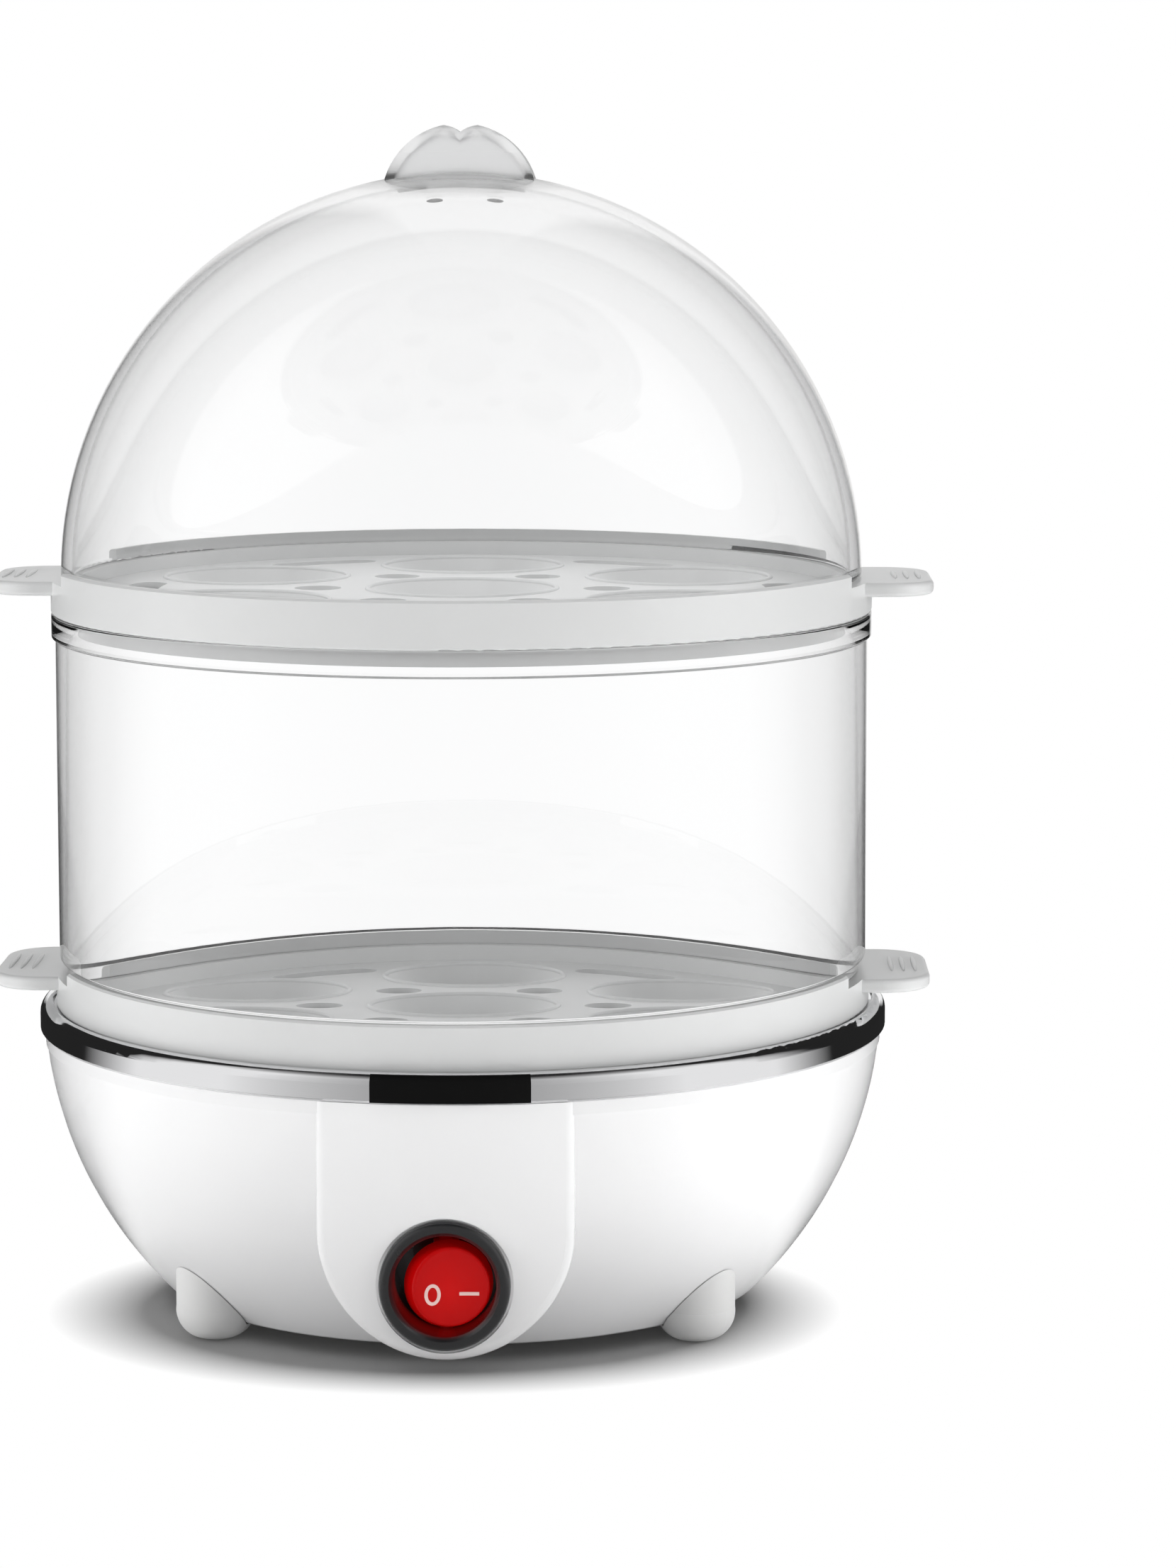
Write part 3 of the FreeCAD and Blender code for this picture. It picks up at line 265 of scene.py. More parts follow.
def build_handling() -> NodeTree:
    """Faint patches where hands and cloths have passed.

    Returns:
        The effect\'s tree.
    """
    patch_top, contrast, streaks_per_patch = 0.9, 4.0, 9.0
    sheet = EffectSheet(Effect.HANDLING, Scale=30.0, Cover=0.5)
    scale = sheet.source["Scale"]
    patches = sheet.noise(scale, Detail=5.0, Distortion=0.6)
    streaks = sheet.noise(sheet.times(scale, streaks_per_patch), Detail=2.0)
    over = sheet.minus(patches, sheet.minus(patch_top, sheet.source["Cover"]))
    broken = sheet.times(sheet.times(over, contrast), streaks)
    return sheet.close(Mask=sheet.remap(broken))


def build_lathe() -> NodeTree:
    """Fine polishing lines round the vertical axis of a spun sheet.

    Returns:
        The effect\'s tree.
    """
    line_span = (0.35, 0.75)
    sheet = EffectSheet(Effect.LATHE, Density=2500.0)
    parts = sheet.split(sheet.source["Vector"])
    radius = sheet.level_length(parts)
    travel = sheet.times(sheet.plus(radius, parts["Z"]), sheet.source["Density"])
    lines = sheet.add("ShaderNodeTexNoise", {"noise_dimensions": "1D"}, W=travel,
                      Detail=2.0).outputs["Fac"]
    return sheet.close(Height=lines, Mask=sheet.remap(lines, *line_span), Radius=radius)


def build_wear() -> NodeTree:
    """Scuffs that gather between a low and a high level of the piece.

    Returns:
        The effect\'s tree.
    """
    speck_span = (0.45, 0.65)
    sheet = EffectSheet(Effect.WEAR, Low=0.0, High=0.01, Scale=400.0)
    high = sheet.source["High"]
    below = sheet.minus(high, sheet.split(sheet.source["Vector"])["Z"])
    share = sheet.math("DIVIDE", below, sheet.minus(high, sheet.source["Low"]))
    specks = sheet.noise(sheet.source["Scale"], Detail=4.0)
    return sheet.close(Mask=sheet.times(sheet.remap(share),
                                        sheet.remap(specks, *speck_span)))


def build_sides() -> NodeTree:
    """Light level of the surroundings by direction: dark screens at the sides and overhead.

    Returns:
        The effect\'s tree.
    """
    screen_rise, screen_fall, overhead_rise = 2.5, 40.0, 3.5
    front_span = (-0.97, -0.55)
    least_length = 0.001
    sheet = EffectSheet(Effect.SIDES, Dark=0.02, Front=0.45, Screen_Start=-0.1,
                        Screen_End=0.975, Overhead=0.68)
    source = sheet.source
    way = sheet.split(sheet.vector("NORMALIZE", source["Vector"]))
    flat = sheet.math("MAXIMUM", sheet.level_length(way), least_length)
    behind = sheet.math("DIVIDE", way["Y"], flat)
    entering = sheet.times(sheet.minus(behind, source["Screen Start"]), screen_rise)
    leaving = sheet.times(sheet.minus(source["Screen End"], behind), screen_fall)
    screen = sheet.times(sheet.remap(entering), sheet.remap(leaving))
    above = sheet.times(sheet.minus(way["Z"], source["Overhead"]), overhead_rise)
    shade = sheet.math("MAXIMUM", screen, sheet.remap(above))
    light = sheet.minus(1.0, sheet.times(shade, sheet.minus(1.0, source["Dark"])))
    turned = sheet.times(sheet.remap(behind, *front_span),
                         sheet.minus(1.0, source["Front"]))
    return sheet.close(Light=sheet.times(light, sheet.plus(source["Front"], turned)))


EFFECT_BUILDERS: dict[Effect, Callable[[], NodeTree]] = {
    Effect.GRAIN: build_grain,
    Effect.HANDLING: build_handling,
    Effect.LATHE: build_lathe,
    Effect.WEAR: build_wear,
    Effect.SIDES: build_sides,
}


def effect_tree(effect: Effect) -> NodeTree:
    """Return an effect's node group, built the first time it is asked for."""
    return bpy.data.node_groups.get(effect.value) or EFFECT_BUILDERS[effect]()


class MaterialSheet(NodeSheet):
    """The node sheet of one material, ready with its shader and object coordinates."""

    def __init__(self, name: str) -> None:
        """Make the material and clear its tree.

        Args:
            name: The material's name.
        """
        self.material = bpy.data.materials.new(name)
        self.material.use_nodes = True
        super().__init__(self.material.node_tree)
        self.tree.nodes.clear()
        self.output = self.add("ShaderNodeOutputMaterial")
        self.shader = self.add("ShaderNodeBsdfPrincipled")
        self.place = self.add("ShaderNodeTexCoord").outputs["Object"]
        self.fill(self.output, Surface=self.shader.outputs["BSDF"])

    def put(self, **inputs: Any) -> None:
        """Feed the shader's inputs by name, underscores standing for spaces."""
        self.fill(self.shader, **inputs)

    def effect(self, effect: Effect, **inputs: Any) -> NodeOutputs:
        """Place a shared effect over the object's own coordinates."""
        return super().effect(effect, Vector=self.place, **inputs)

    def bump(self, height: NodeSocket, depth: float) -> None:
        """Give the shader a relief of a real depth in metres."""
        self.put(Normal=self.step("ShaderNodeBump", Height=height, Strength=1.0,
                                  Distance=depth))

    def handled(self, low: float, high: float, **inputs: float) -> NodeSocket:
        """Return a roughness between two values that is high where hands have been."""
        marks = self.effect(Effect.HANDLING, **inputs)
        return self.remap(marks["Mask"], to_low=low, to_high=high)

    def blend_colour(self, share: Any, first: Any, second: Any,
                     how: str = "MIX") -> NodeSocket:
        """Mix two colours by a mask.

        Args:
            share: The mask.
            first: The colour where the mask is 0, plain or another node's output.
            second: The colour where it is 1, likewise.
            how: The blend type.

        Returns:
            The mixed colour's output.
        """
        node = self.add("ShaderNodeMix", {"data_type": "RGBA", "blend_type": how})
        self.feed(node.inputs[0], share)
        colours = [socket for socket in node.inputs if socket.type == "RGBA"]
        for socket, colour in zip(colours, (first, second)):
            plain = not isinstance(colour, NodeSocket)
            self.feed(socket, (*colour, 1.0) if plain else colour)
        return next(socket for socket in node.outputs if socket.type == "RGBA")

    def mix_surface(self, share: Any, first: NodeSocket, second: NodeSocket) -> None:
        """Make the surface a mix of two shaders.

        Args:
            share: The mask.
            first: The shader where the mask is 0.
            second: The shader where it is 1.
        """
        node = self.add("ShaderNodeMixShader")
        self.feed_all(node, (share, first, second))
        self.fill(self.output, Surface=node.outputs["Shader"])


# ------------------------------------------------------------------ finishes
@dataclass(frozen=True)
class Finish:
    """What every finish has: its name, its colour and how rough it is."""

    name: str
    colour: Colour
    roughness: float

    def build(self) -> Material:
        """Make the material the first time it is asked for.

        Returns:
            The material.
        """
        found = bpy.data.materials.get(self.name)
        if found is not None:
            return found
        sheet = MaterialSheet(self.name)
        sheet.material.diffuse_color = (*self.colour, 1.0)
        self.dress(sheet)
        return sheet.material

    def dress(self, sheet: MaterialSheet) -> None:
        """Fill the material's sheet."""
        raise NotImplementedError

    def shade(self, factor: float) -> Colour:
        """Return the colour, darker or lighter by a factor."""
        return tuple(min(channel * factor, 1.0) for channel in self.colour)


@dataclass(frozen=True)
class Moulded(Finish):
    """Injection-moulded plastic or rubber, with its grain, slow tone change and handling."""

    grain_scale: float = 900.0
    grain_depth: float = 4e-6
    tone_change: float = 0.97
    handled_roughness: float = 0.08
    coat: float = 0.0
    specular: float = 0.5
    wear_level: tuple[float, float] | None = None

    def dress(self, sheet: MaterialSheet) -> None:
        """Fill the material's sheet.

        Args:
            sheet: The sheet to fill.
        """
        grain = sheet.effect(Effect.GRAIN, Scale=self.grain_scale)
        sheet.bump(grain["Height"], self.grain_depth)
        mask = grain["Tone"]
        if self.wear_level is not None:
            low, high = self.wear_level
            wear = sheet.effect(Effect.WEAR, Low=low, High=high)
            mask = sheet.math("MAXIMUM", wear["Mask"], mask)
        sheet.put(
            Base_Color=sheet.blend_colour(mask, self.colour, self.shade(self.tone_change)),
            Roughness=sheet.handled(self.roughness, self.roughness + self.handled_roughness),
            Specular_IOR_Level=self.specular, Coat_Weight=self.coat,
            Coat_Roughness=self.roughness / 2.0)


@dataclass(frozen=True)
class Clear(Finish):
    """See-through moulded plastic that lets lamps shine on what stands inside it, with painted
    shade darkening its colour towards its edges.
    """

    ior: float = 1.49
    haze: float = 0.03
    marks_scale: float = 25.0
    marks_cover: float = 0.42
    flow_scale: float = 60.0
    flow_depth: float = 6e-6
    lamp_share: float = 0.93
    frost_level: tuple[float, float] = (1.0, 2.0)
    frost: float = 0.3
    frost_shade: float = 0.9
    # painted shade: colour by facing angle, a dark outline at the silhouette and soft grey bands
    # inside it
    edge_painted_shades: tuple[tuple[float, float], ...] = (
        (0.40, 1.0), (0.60, 0.96), (0.72, 0.88), (0.81, 0.92), (0.85, 0.93), (0.90, 0.45),
        (1.0, 0.3))

    def dress(self, sheet: MaterialSheet) -> None:
        """Fill the material's sheet.

        Args:
            sheet: The sheet to fill.
        """
        # painted shade: the colour darkens as the surface turns away from the ray
        facing = sheet.add("ShaderNodeLayerWeight", Blend=0.5).outputs["Facing"]
        ramp = sheet.add("ShaderNodeValToRGB", Fac=facing)
        stops = ramp.color_ramp.elements
        while len(stops) < len(self.edge_painted_shades):
            stops.new(1.0)
        for stop, (position, tint) in zip(stops, self.edge_painted_shades):
            stop.position = position
            stop.color = (*self.shade(tint), 1.0)
        frosted = sheet.remap(sheet.split(sheet.place)["Z"], *self.frost_level)
        haze = sheet.handled(self.roughness, self.haze, Scale=self.marks_scale,
                             Cover=self.marks_cover)
        sheet.put(
            Base_Color=sheet.blend_colour(frosted, ramp.outputs["Color"],
                                          self.shade(self.frost_shade), "MULTIPLY"),
            Transmission_Weight=1.0, IOR=self.ior,
            Roughness=sheet.math("MAXIMUM", haze, sheet.times(frosted, self.frost)))
        grain = sheet.effect(Effect.GRAIN, Scale=self.flow_scale)
        sheet.bump(grain["Height"], self.flow_depth)
        passing = sheet.step("ShaderNodeBsdfTransparent",
                             Color=(self.lamp_share,) * 3 + (1.0,))
        rays = sheet.add("ShaderNodeLightPath").outputs
        sheet.mix_surface(rays["Is Shadow Ray"], sheet.shader.outputs["BSDF"], passing)


@dataclass(frozen=True)
class Metal(Finish):
    """Bare metal with lathe lines and faint handling, satin inside a radius if it has one."""

    line_density: float = 2500.0
    line_depth: float = 1e-6
    dulled: float = 0.92
    marks_cover: float = 0.45
    handled_roughness: float = 0.06
    satin_radius: float = 0.0
    satin_edge: float = 2.5 * MM
    satin: float = 0.45
    satin_metallic: float = 0.4

    def dress(self, sheet: MaterialSheet) -> None:
        """Fill the material's sheet.

        Args:
            sheet: The sheet to fill.
        """
        lines = sheet.effect(Effect.LATHE, Density=self.line_density)
        sheet.bump(lines["Height"], self.line_depth)
        roughness = sheet.handled(self.roughness, self.roughness + self.handled_roughness,
                                  Cover=self.marks_cover)
        metallic = 1.0
        if self.satin_radius > 0.0:
            outside = sheet.remap(lines["Radius"], self.satin_radius - self.satin_edge,
                                  self.satin_radius)
            metallic = sheet.remap(outside, to_low=self.satin_metallic)
            extra = sheet.times(sheet.minus(1.0, outside), self.satin)
            roughness = sheet.plus(roughness, extra)
        sheet.put(Base_Color=sheet.blend_colour(lines["Mask"], self.colour,
                                                self.shade(self.dulled)),
                  Metallic=metallic, Roughness=roughness)


@dataclass(frozen=True)
class PaintedLampGlow(Finish):
    """Moulded plastic with a small lamp's light painted on: a painted glow and brighter colour
    at a centre, deeper colour away from it.
    """

    # painted lamp light: deep is the colour far from the centre, glow the painted glow emitted
    # near it
    deep: Colour = (0.2, 0.0, 0.0)
    glow: Colour = (1.0, 0.02, 0.01)
    glow_strength: float = 0.6
    centre: tuple[float, float, float] = (0.0, 0.0, 0.0)
    reach: float = 7.0 * MM
    specular: float = 0.14
    coat: float = 0.0
    grain_scale: float = 700.0
    grain_depth: float = 3e-6
    marks_scale: float = 200.0
    handled_roughness: float = 0.1

    def dress(self, sheet: MaterialSheet) -> None:
        """Fill the material's sheet.

        Args:
            sheet: The sheet to fill.
        """
        # painted light: colour and glow fade from the centre out to the reach
        offset = sheet.vector("SUBTRACT", sheet.place, self.centre)
        near = sheet.remap(sheet.vector("LENGTH", offset), 0.0, self.reach, 1.0, 0.0)
        grain = sheet.effect(Effect.GRAIN, Scale=self.grain_scale)
        sheet.bump(grain["Height"], self.grain_depth)
        sheet.put(
            Base_Color=sheet.blend_colour(near, self.deep, self.colour),
            Emission_Color=sheet.blend_colour(near, (0.0, 0.0, 0.0), self.glow),
            Emission_Strength=self.glow_strength,
            Roughness=sheet.handled(self.roughness, self.roughness + self.handled_roughness,
                                    Scale=self.marks_scale),
            Specular_IOR_Level=self.specular, Coat_Weight=self.coat)


@dataclass(frozen=True)
class Woven(Finish):
    """A braided glass-fibre sleeve, with painted shade in the valleys of its weave."""

    strand: float = 0.6 * MM
    strands_per_wave: float = 6.0
    slant: float = 45.0
    sway: float = 0.4
    depth: float = 0.1 * MM
    # painted shade: the weave's valleys are darker by this factor
    valley_painted_shade: float = 0.75

    def dress(self, sheet: MaterialSheet) -> None:
        """Fill the material's sheet.

        Args:
            sheet: The sheet to fill.
        """
        slant = math.radians(self.slant)
        turned = sheet.step("ShaderNodeMapping", Vector=sheet.place,
                            Rotation=(slant, 0.0, slant))
        waves = sheet.add("ShaderNodeTexWave", Vector=turned, Distortion=self.sway,
                          Scale=1.0 / self.strand / self.strands_per_wave).outputs["Fac"]
        sheet.bump(waves, self.depth)
        sheet.put(Base_Color=sheet.blend_colour(waves, self.shade(self.valley_painted_shade),
                                                self.colour),
                  Roughness=self.roughness)


HOUSING = Moulded("housing_gloss_white", (0.80, 0.80, 0.805), 0.16, coat=0.25,
                  grain_depth=3e-6, tone_change=0.985, handled_roughness=0.05)
TRAY = Moulded("tray_frost_white", (0.62, 0.625, 0.625), 0.3, grain_scale=1400.0,
               grain_depth=5e-6, tone_change=0.965)
FOOT = Moulded("foot_soft_white", (0.82, 0.82, 0.815), 0.4, grain_scale=1800.0,
               grain_depth=6e-6, tone_change=0.86, wear_level=(0.0, 1.5 * MM))
COVER = Moulded("cover_grained_white", (0.68, 0.68, 0.67), 0.5, grain_scale=2600.0,
                grain_depth=2e-5, tone_change=0.95)
SEAL = Moulded("seal_silicone", (0.62, 0.62, 0.6), 0.5, grain_scale=1600.0)
PLATE = Moulded("plate_bare_black", (0.002, 0.002, 0.002), 0.4, grain_scale=3000.0,
                grain_depth=2e-6, tone_change=1.4, specular=0.12)
GLAND = Moulded("gland_black_rubber", (0.02, 0.02, 0.02), 0.62, grain_scale=2200.0,
                grain_depth=1.2e-5, tone_change=1.4)
PHENOLIC = Moulded("phenolic_black", (0.03, 0.026, 0.022), 0.42, grain_scale=1300.0,
                   grain_depth=1e-5, tone_change=1.5)
BLOCK = Moulded("terminal_cream", (0.74, 0.71, 0.62), 0.42, grain_scale=1500.0)
LEGEND = Moulded("legend_pale_ink", (0.86, 0.6, 0.56), 0.4, grain_scale=3500.0,
                 grain_depth=2e-6)
CLEAR = Clear("clear_polystyrene", (0.998, 0.999, 1.0), 0.004,
              frost_level=(207.5 * MM, 209.5 * MM))
LAMP_GLASS = Clear("lamp_glass", (1.0, 0.82, 0.66), 0.01, ior=1.52, haze=0.06)
STEEL = Metal("polished_stainless", (0.78, 0.78, 0.79), 0.06, line_density=4200.0,
              line_depth=4e-7, dulled=0.94, satin_radius=67.5 * MM)
PLATED = Metal("zinc_plated_steel", (0.52, 0.53, 0.54), 0.28, line_density=1800.0)
ALUMINIUM = Metal("plain_aluminium", (0.72, 0.73, 0.74), 0.34, line_density=2200.0,
                  line_depth=3e-6)
SHEATH = Metal("heated_sheath", (0.46, 0.45, 0.43), 0.45, line_density=1200.0,
               line_depth=3e-6, dulled=0.78)
BRASS = Metal("tab_brass", (0.70, 0.50, 0.22), 0.26, line_density=2600.0)
SLEEVE = Woven("fuse_sleeve", (0.74, 0.71, 0.63), 0.8)


# ------------------------------------------------------------------ pieces and bodies
def settle(piece: Object, body: Body, finish: Finish,
           replaced: Sequence[str] = ()) -> None:
    """Put a finished piece on its body.

    Args:
        piece: The mesh object, its place in its mesh.
        body: The body that it rides on.
        finish: The finish it wears.
        replaced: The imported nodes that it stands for.
    """
    piece.data.materials.clear()
    piece.data.materials.append(finish.build())
    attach(piece, body.value)
    if replaced:
        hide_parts(*replaced)
    log.info("piece %s on %s, %d faces", piece.name, body.value, len(piece.data.polygons))


def dress_nodes(**finishes: Finish) -> None:
    """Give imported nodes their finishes.

    Args:
        finishes: Each node's finish, by the node's name.
    """
    for node, finish in finishes.items():
        material = finish.build()
        for holder in frame["nodes"][node].material_slots:
            holder.material = material
        log.info("node %s wears %s", node, finish.name)


def scene_object(name: str, data: ID) -> Object:
    """Link a mesh, lamp or camera into the scene as an object at the origin.

    Args:
        name: The object's name.
        data: What it shows.

    Returns:
        The object.
    """
    piece = bpy.data.objects.new(name, data)
    bpy.context.scene.collection.objects.link(piece)
    return piece


def face_outwards(mesh: Mesh) -> None:
    """Turn the faces of a closed mesh outwards.

    Args:
        mesh: The mesh.
    """
    form = bmesh.new()
    form.from_mesh(mesh)
    bmesh.ops.recalc_face_normals(form, faces=form.faces)
    form.to_mesh(mesh)
    form.free()


def closed_mesh(name: str, form: BMesh) -> Mesh:
    """Keep a closed form as a mesh, its faces turned outwards.

    Args:
        name: The mesh's name.
        form: The form, which is used up.

    Returns:
        The mesh.
    """
    mesh = bpy.data.meshes.new(name)
    form.to_mesh(mesh)
    form.free()
    face_outwards(mesh)
    return mesh


def oval(steps: int, half_width: float, half_height: float) -> list[tuple[float, float]]:
    """Return points round an ellipse about the origin."""
    turns = [2 * math.pi * k / steps for k in range(steps)]
    return [(half_width * math.cos(turn), half_height * math.sin(turn)) for turn in turns]


# ------------------------------------------------------------------ geometry recipes
class Recipe(NodeSheet):
    """A Geometry Nodes tree with named inputs that ends as one plain mesh."""

    def __init__(self, name: str, numbers: Sequence[str], counts: Sequence[str] = ()) -> None:
        """Start the tree.

        Args:
            name: The tree's name.
            numbers: The names of its inputs for lengths and angles.
            counts: The names of its inputs for whole numbers.
        """
        super().__init__(bpy.data.node_groups.new(name, "GeometryNodeTree"))
        for kind, labels in (("Geometry", ["Geometry"]), ("Int", counts),
                             ("Float", numbers), ("Material", ["Material"])):
            for label in labels:
                self.add_socket(label, kind)
        self.add_socket("Geometry", "Geometry", "OUTPUT")
        self.source = self.add("NodeGroupInput").outputs

    def join(self, *parts: NodeSocket) -> NodeSocket:
        """Join several geometries.

        Args:
            parts: The geometries, in order.

        Returns:
            The joined geometry.
        """
        node = self.add("GeometryNodeJoinGeometry")
        for part in parts:
            self.feed(node.inputs[0], part)
        return node.outputs[0]

    def move(self, geometry: NodeSocket, **change: Any) -> NodeSocket:
        """Return a geometry moved, turned or stretched."""
        return self.step("GeometryNodeTransform", Geometry=geometry, **change)

    def lift(self, geometry: NodeSocket) -> NodeSocket:
        """Return a geometry raised to the recipe's level."""
        return self.move(geometry, Translation=self.spot(z=self.source["Level"]))

    def circle(self, steps: Any, radius: Any) -> NodeSocket:
        """Return a round curve about the axis."""
        return self.step("GeometryNodeCurvePrimitiveCircle", Resolution=steps, Radius=radius)

    def copies(self, spots: NodeSocket, form: NodeSocket) -> NodeSocket:
        """Return copies of a form on points."""
        return self.step("GeometryNodeInstanceOnPoints", Points=spots, Instance=form)

    def sweep(self, path: NodeSocket, section: NodeSocket) -> NodeSocket:
        """Return the wall that a section leaves along a path."""
        return self.step("GeometryNodeCurveToMesh", Curve=path, Profile_Curve=section)

    def ring_points(self) -> NodeSocket:
        """Spread the recipe's count of points round its pitch circle.

        Returns:
            The points.
        """
        circle = self.step("GeometryNodeMeshCircle", {"fill_type": "NONE"},
                           Vertices=self.source["Count"], Radius=self.source["Pitch Radius"])
        turned = self.move(circle, Rotation=self.spot(z=self.source["First Angle"]))
        return self.step("GeometryNodeMeshToPoints", Mesh=turned)

    def end_with(self, geometry: NodeSocket, smooth: bool = True) -> "Recipe":
        """End the tree.

        Args:
            geometry: What the tree has made.
            smooth: Whether its faces shade smoothly.

        Returns:
            The recipe itself.
        """
        real = self.step("GeometryNodeRealizeInstances", Geometry=geometry)
        shaded = self.step("GeometryNodeSetShadeSmooth", Geometry=real, Shade_Smooth=smooth)
        dressed = self.step("GeometryNodeSetMaterial", Geometry=shaded,
                            Material=self.source["Material"])
        self.add("NodeGroupOutput", Geometry=dressed)
        return self

    def cook(self, name: str, start: Mesh | None, finish: Finish, **values: Any) -> Object:
        """Run the tree once and keep its result as a plain mesh.

        Args:
            name: The new piece's name.
            start: The mesh that goes into the tree, if it needs one.
            finish: The finish it sets.
            values: Its inputs, underscores standing for spaces.

        Returns:
            The new object at the origin, with no modifier.
        """
        mesh = start or bpy.data.meshes.new(name + "_start")
        carrier = scene_object(name + "_carrier", mesh)
        modifier = carrier.modifiers.new("recipe", "NODES")
        modifier.node_group = self.tree
        values["Material"] = finish.build()
        for item in self.tree.interface.items_tree:
            key = item.name.replace(" ", "_")
            if item.in_out == "INPUT" and key in values:
                modifier[item.identifier] = values[key]
        bpy.context.view_layer.update()
        graph = bpy.context.evaluated_depsgraph_get()
        made = bpy.data.meshes.new_from_object(carrier.evaluated_get(graph))
        made.name = name
        face_outwards(made)
        bpy.data.objects.remove(carrier)
        return scene_object(name, made)


def seat_bead_recipe() -> Recipe:
    """Rounded lips round a tray's egg seats: one in the middle and a ring of others.

    Returns:
        The recipe.
    """
    path_steps, section_steps = 72, 10
    recipe = Recipe("seat_beads", ["Pitch Radius", "First Angle", "Mouth Radius",
                                   "Bead Radius", "Level"], ["Count"])
    bead = recipe.sweep(recipe.circle(path_steps, recipe.source["Mouth Radius"]),
                        recipe.circle(section_steps, recipe.source["Bead Radius"]))
    middle = recipe.step("GeometryNodePoints", Count=1)
    spots = recipe.join(recipe.ring_points(), middle)
    return recipe.end_with(recipe.lift(recipe.copies(spots, bead)))


def rib_row_recipe() -> Recipe:
    """A row of short rounded ribs across both ears of a tray.

    Returns:
        The recipe.
    """
    segments, rings = 16, 10
    recipe = Recipe("ear_ribs", ["Start", "Pitch", "Half Length", "Rib Radius", "Level"],
                    ["Count"])
    source = recipe.source
    row = recipe.step("GeometryNodeMeshLine", Count=source["Count"],
                      Start_Location=recipe.spot(source["Start"], 0.0, source["Level"]),
                      Offset=recipe.spot(source["Pitch"]))
    ball = recipe.step("GeometryNodeMeshUVSphere", Segments=segments, Rings=rings,
                       Radius=source["Rib Radius"])
    stretch = recipe.math("DIVIDE", source["Half Length"], source["Rib Radius"])
    rib = recipe.move(ball, Scale=recipe.spot(1.0, stretch, 1.0))
    ear = recipe.copies(recipe.step("GeometryNodeMeshToPoints", Mesh=row), rib)
    other_ear = recipe.move(ear, Rotation=(0.0, 0.0, math.pi))
    return recipe.end_with(recipe.join(ear, other_ear))


def axis_copies_recipe() -> Recipe:
    """Copies of a mesh drawn at the origin, spread round the axis.

    Returns:
        The recipe.
    """
    recipe = Recipe("copies_round_axis", ["Pitch Radius", "First Angle", "Level"], ["Count"])
    spread = recipe.copies(recipe.ring_points(), recipe.source["Geometry"])
    return recipe.end_with(recipe.lift(spread), smooth=False)


def turned_wall_recipe() -> Recipe:
    """A wall turned about the axis from a section with rounded corners.

    Returns:
        The recipe.
    """
    corner_steps = 5
    recipe = Recipe("turned_wall", ["Corner Radius", "Path Radius"], ["Segments"])
    source = recipe.source
    section = recipe.step("GeometryNodeMeshToCurve", Mesh=source["Geometry"])
    rounded = recipe.step("GeometryNodeFilletCurve", {"mode": "POLY"}, Curve=section,
                          Radius=source["Corner Radius"], Limit_Radius=True,
                          Count=corner_steps)
    path = recipe.circle(source["Segments"], source["Path Radius"])
    return recipe.end_with(recipe.sweep(path, rounded))


def band_plate_recipe() -> Recipe:
    """A thin plate that follows a rolled band round the axis and over its rounded top.

    Returns:
        The recipe.
    """
    columns, rows, weld = 49, 17, 1e-6
    recipe = Recipe("band_plate", ["Band Radius", "Round", "Bottom", "Straight", "Over",
                                   "Half Angle", "Middle Angle", "Thickness"])
    source, times = recipe.source, recipe.times
    grid = recipe.step("GeometryNodeMeshGrid", Size_X=2.0, Size_Y=1.0, Vertices_X=columns,
                       Vertices_Y=rows)
    spot = recipe.split(recipe.step("GeometryNodeInputPosition"))
    angle = recipe.plus(source["Middle Angle"], times(spot["X"], source["Half Angle"]))
    travel = times(recipe.plus(spot["Y"], 0.5),
                   recipe.plus(source["Straight"], source["Over"]))
    rise = recipe.math("MINIMUM", travel, source["Straight"])
    past = recipe.math("MAXIMUM", recipe.minus(travel, source["Straight"]), 0.0)
    bend = recipe.math("DIVIDE", past, source["Round"])
    inward = times(source["Round"], recipe.minus(1.0, recipe.math("COSINE", bend)))
    radius = recipe.minus(source["Band Radius"], inward)
    up = times(source["Round"], recipe.math("SINE", bend))
    place = recipe.spot(times(radius, recipe.math("SINE", angle)),
                        times(times(radius, -1.0), recipe.math("COSINE", angle)),
                        recipe.plus(source["Bottom"], recipe.plus(rise, up)))
    bent = recipe.step("GeometryNodeSetPosition", Geometry=grid, Position=place)
    raised = recipe.step("GeometryNodeExtrudeMesh", {"mode": "FACES"}, Mesh=bent,
                         Offset_Scale=source["Thickness"], Individual=False)
    back = recipe.step("GeometryNodeFlipFaces", Mesh=bent)
    closed = recipe.step("GeometryNodeMergeByDistance", Geometry=recipe.join(raised, back),
                         Distance=weld)
    return recipe.end_with(closed, smooth=False)


# ------------------------------------------------------------------ sub-assemblies
@dataclass
class BaseUnit:
    """The bowl-shaped housing with its feet, steel dish, band plate and gland."""

    plate_width: float = 28.0 * MM
    plate_thickness: float = 0.25 * MM
    plate_bottom_gap: float = 0.35 * MM
    band_height: float = 5.4 * MM
    band_round: float = 2.0 * MM
    plate_turn: float = 0.8
    plate_over_share: float = 0.62

    def build(self) -> None:
        """Dress the outside of the base and add its blank plate."""
        dress_nodes(base_housing=HOUSING, feet=FOOT, heating_dish=STEEL, dish_seal=SEAL,
                    cord_gland=GLAND)
        self.blank_plate()

    def blank_plate(self) -> None:
        """Lay the blank black plate on the front of the steel band."""
        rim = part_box("heating_dish")[1]
        plate = band_plate_recipe().cook(
            "blank_plate", None, PLATE, Band_Radius=rim.x, Round=self.band_round,
            Bottom=rim.z - self.band_height + self.plate_bottom_gap,
            Straight=self.band_height - self.plate_bottom_gap - self.band_round,
            Over=self.band_round * math.pi / 2.0 * self.plate_over_share,
            Half_Angle=self.plate_width / 2.0 / rim.x,
            Middle_Angle=math.radians(self.plate_turn), Thickness=self.plate_thickness)
        settle(plate, Body.BASE, PLATE)


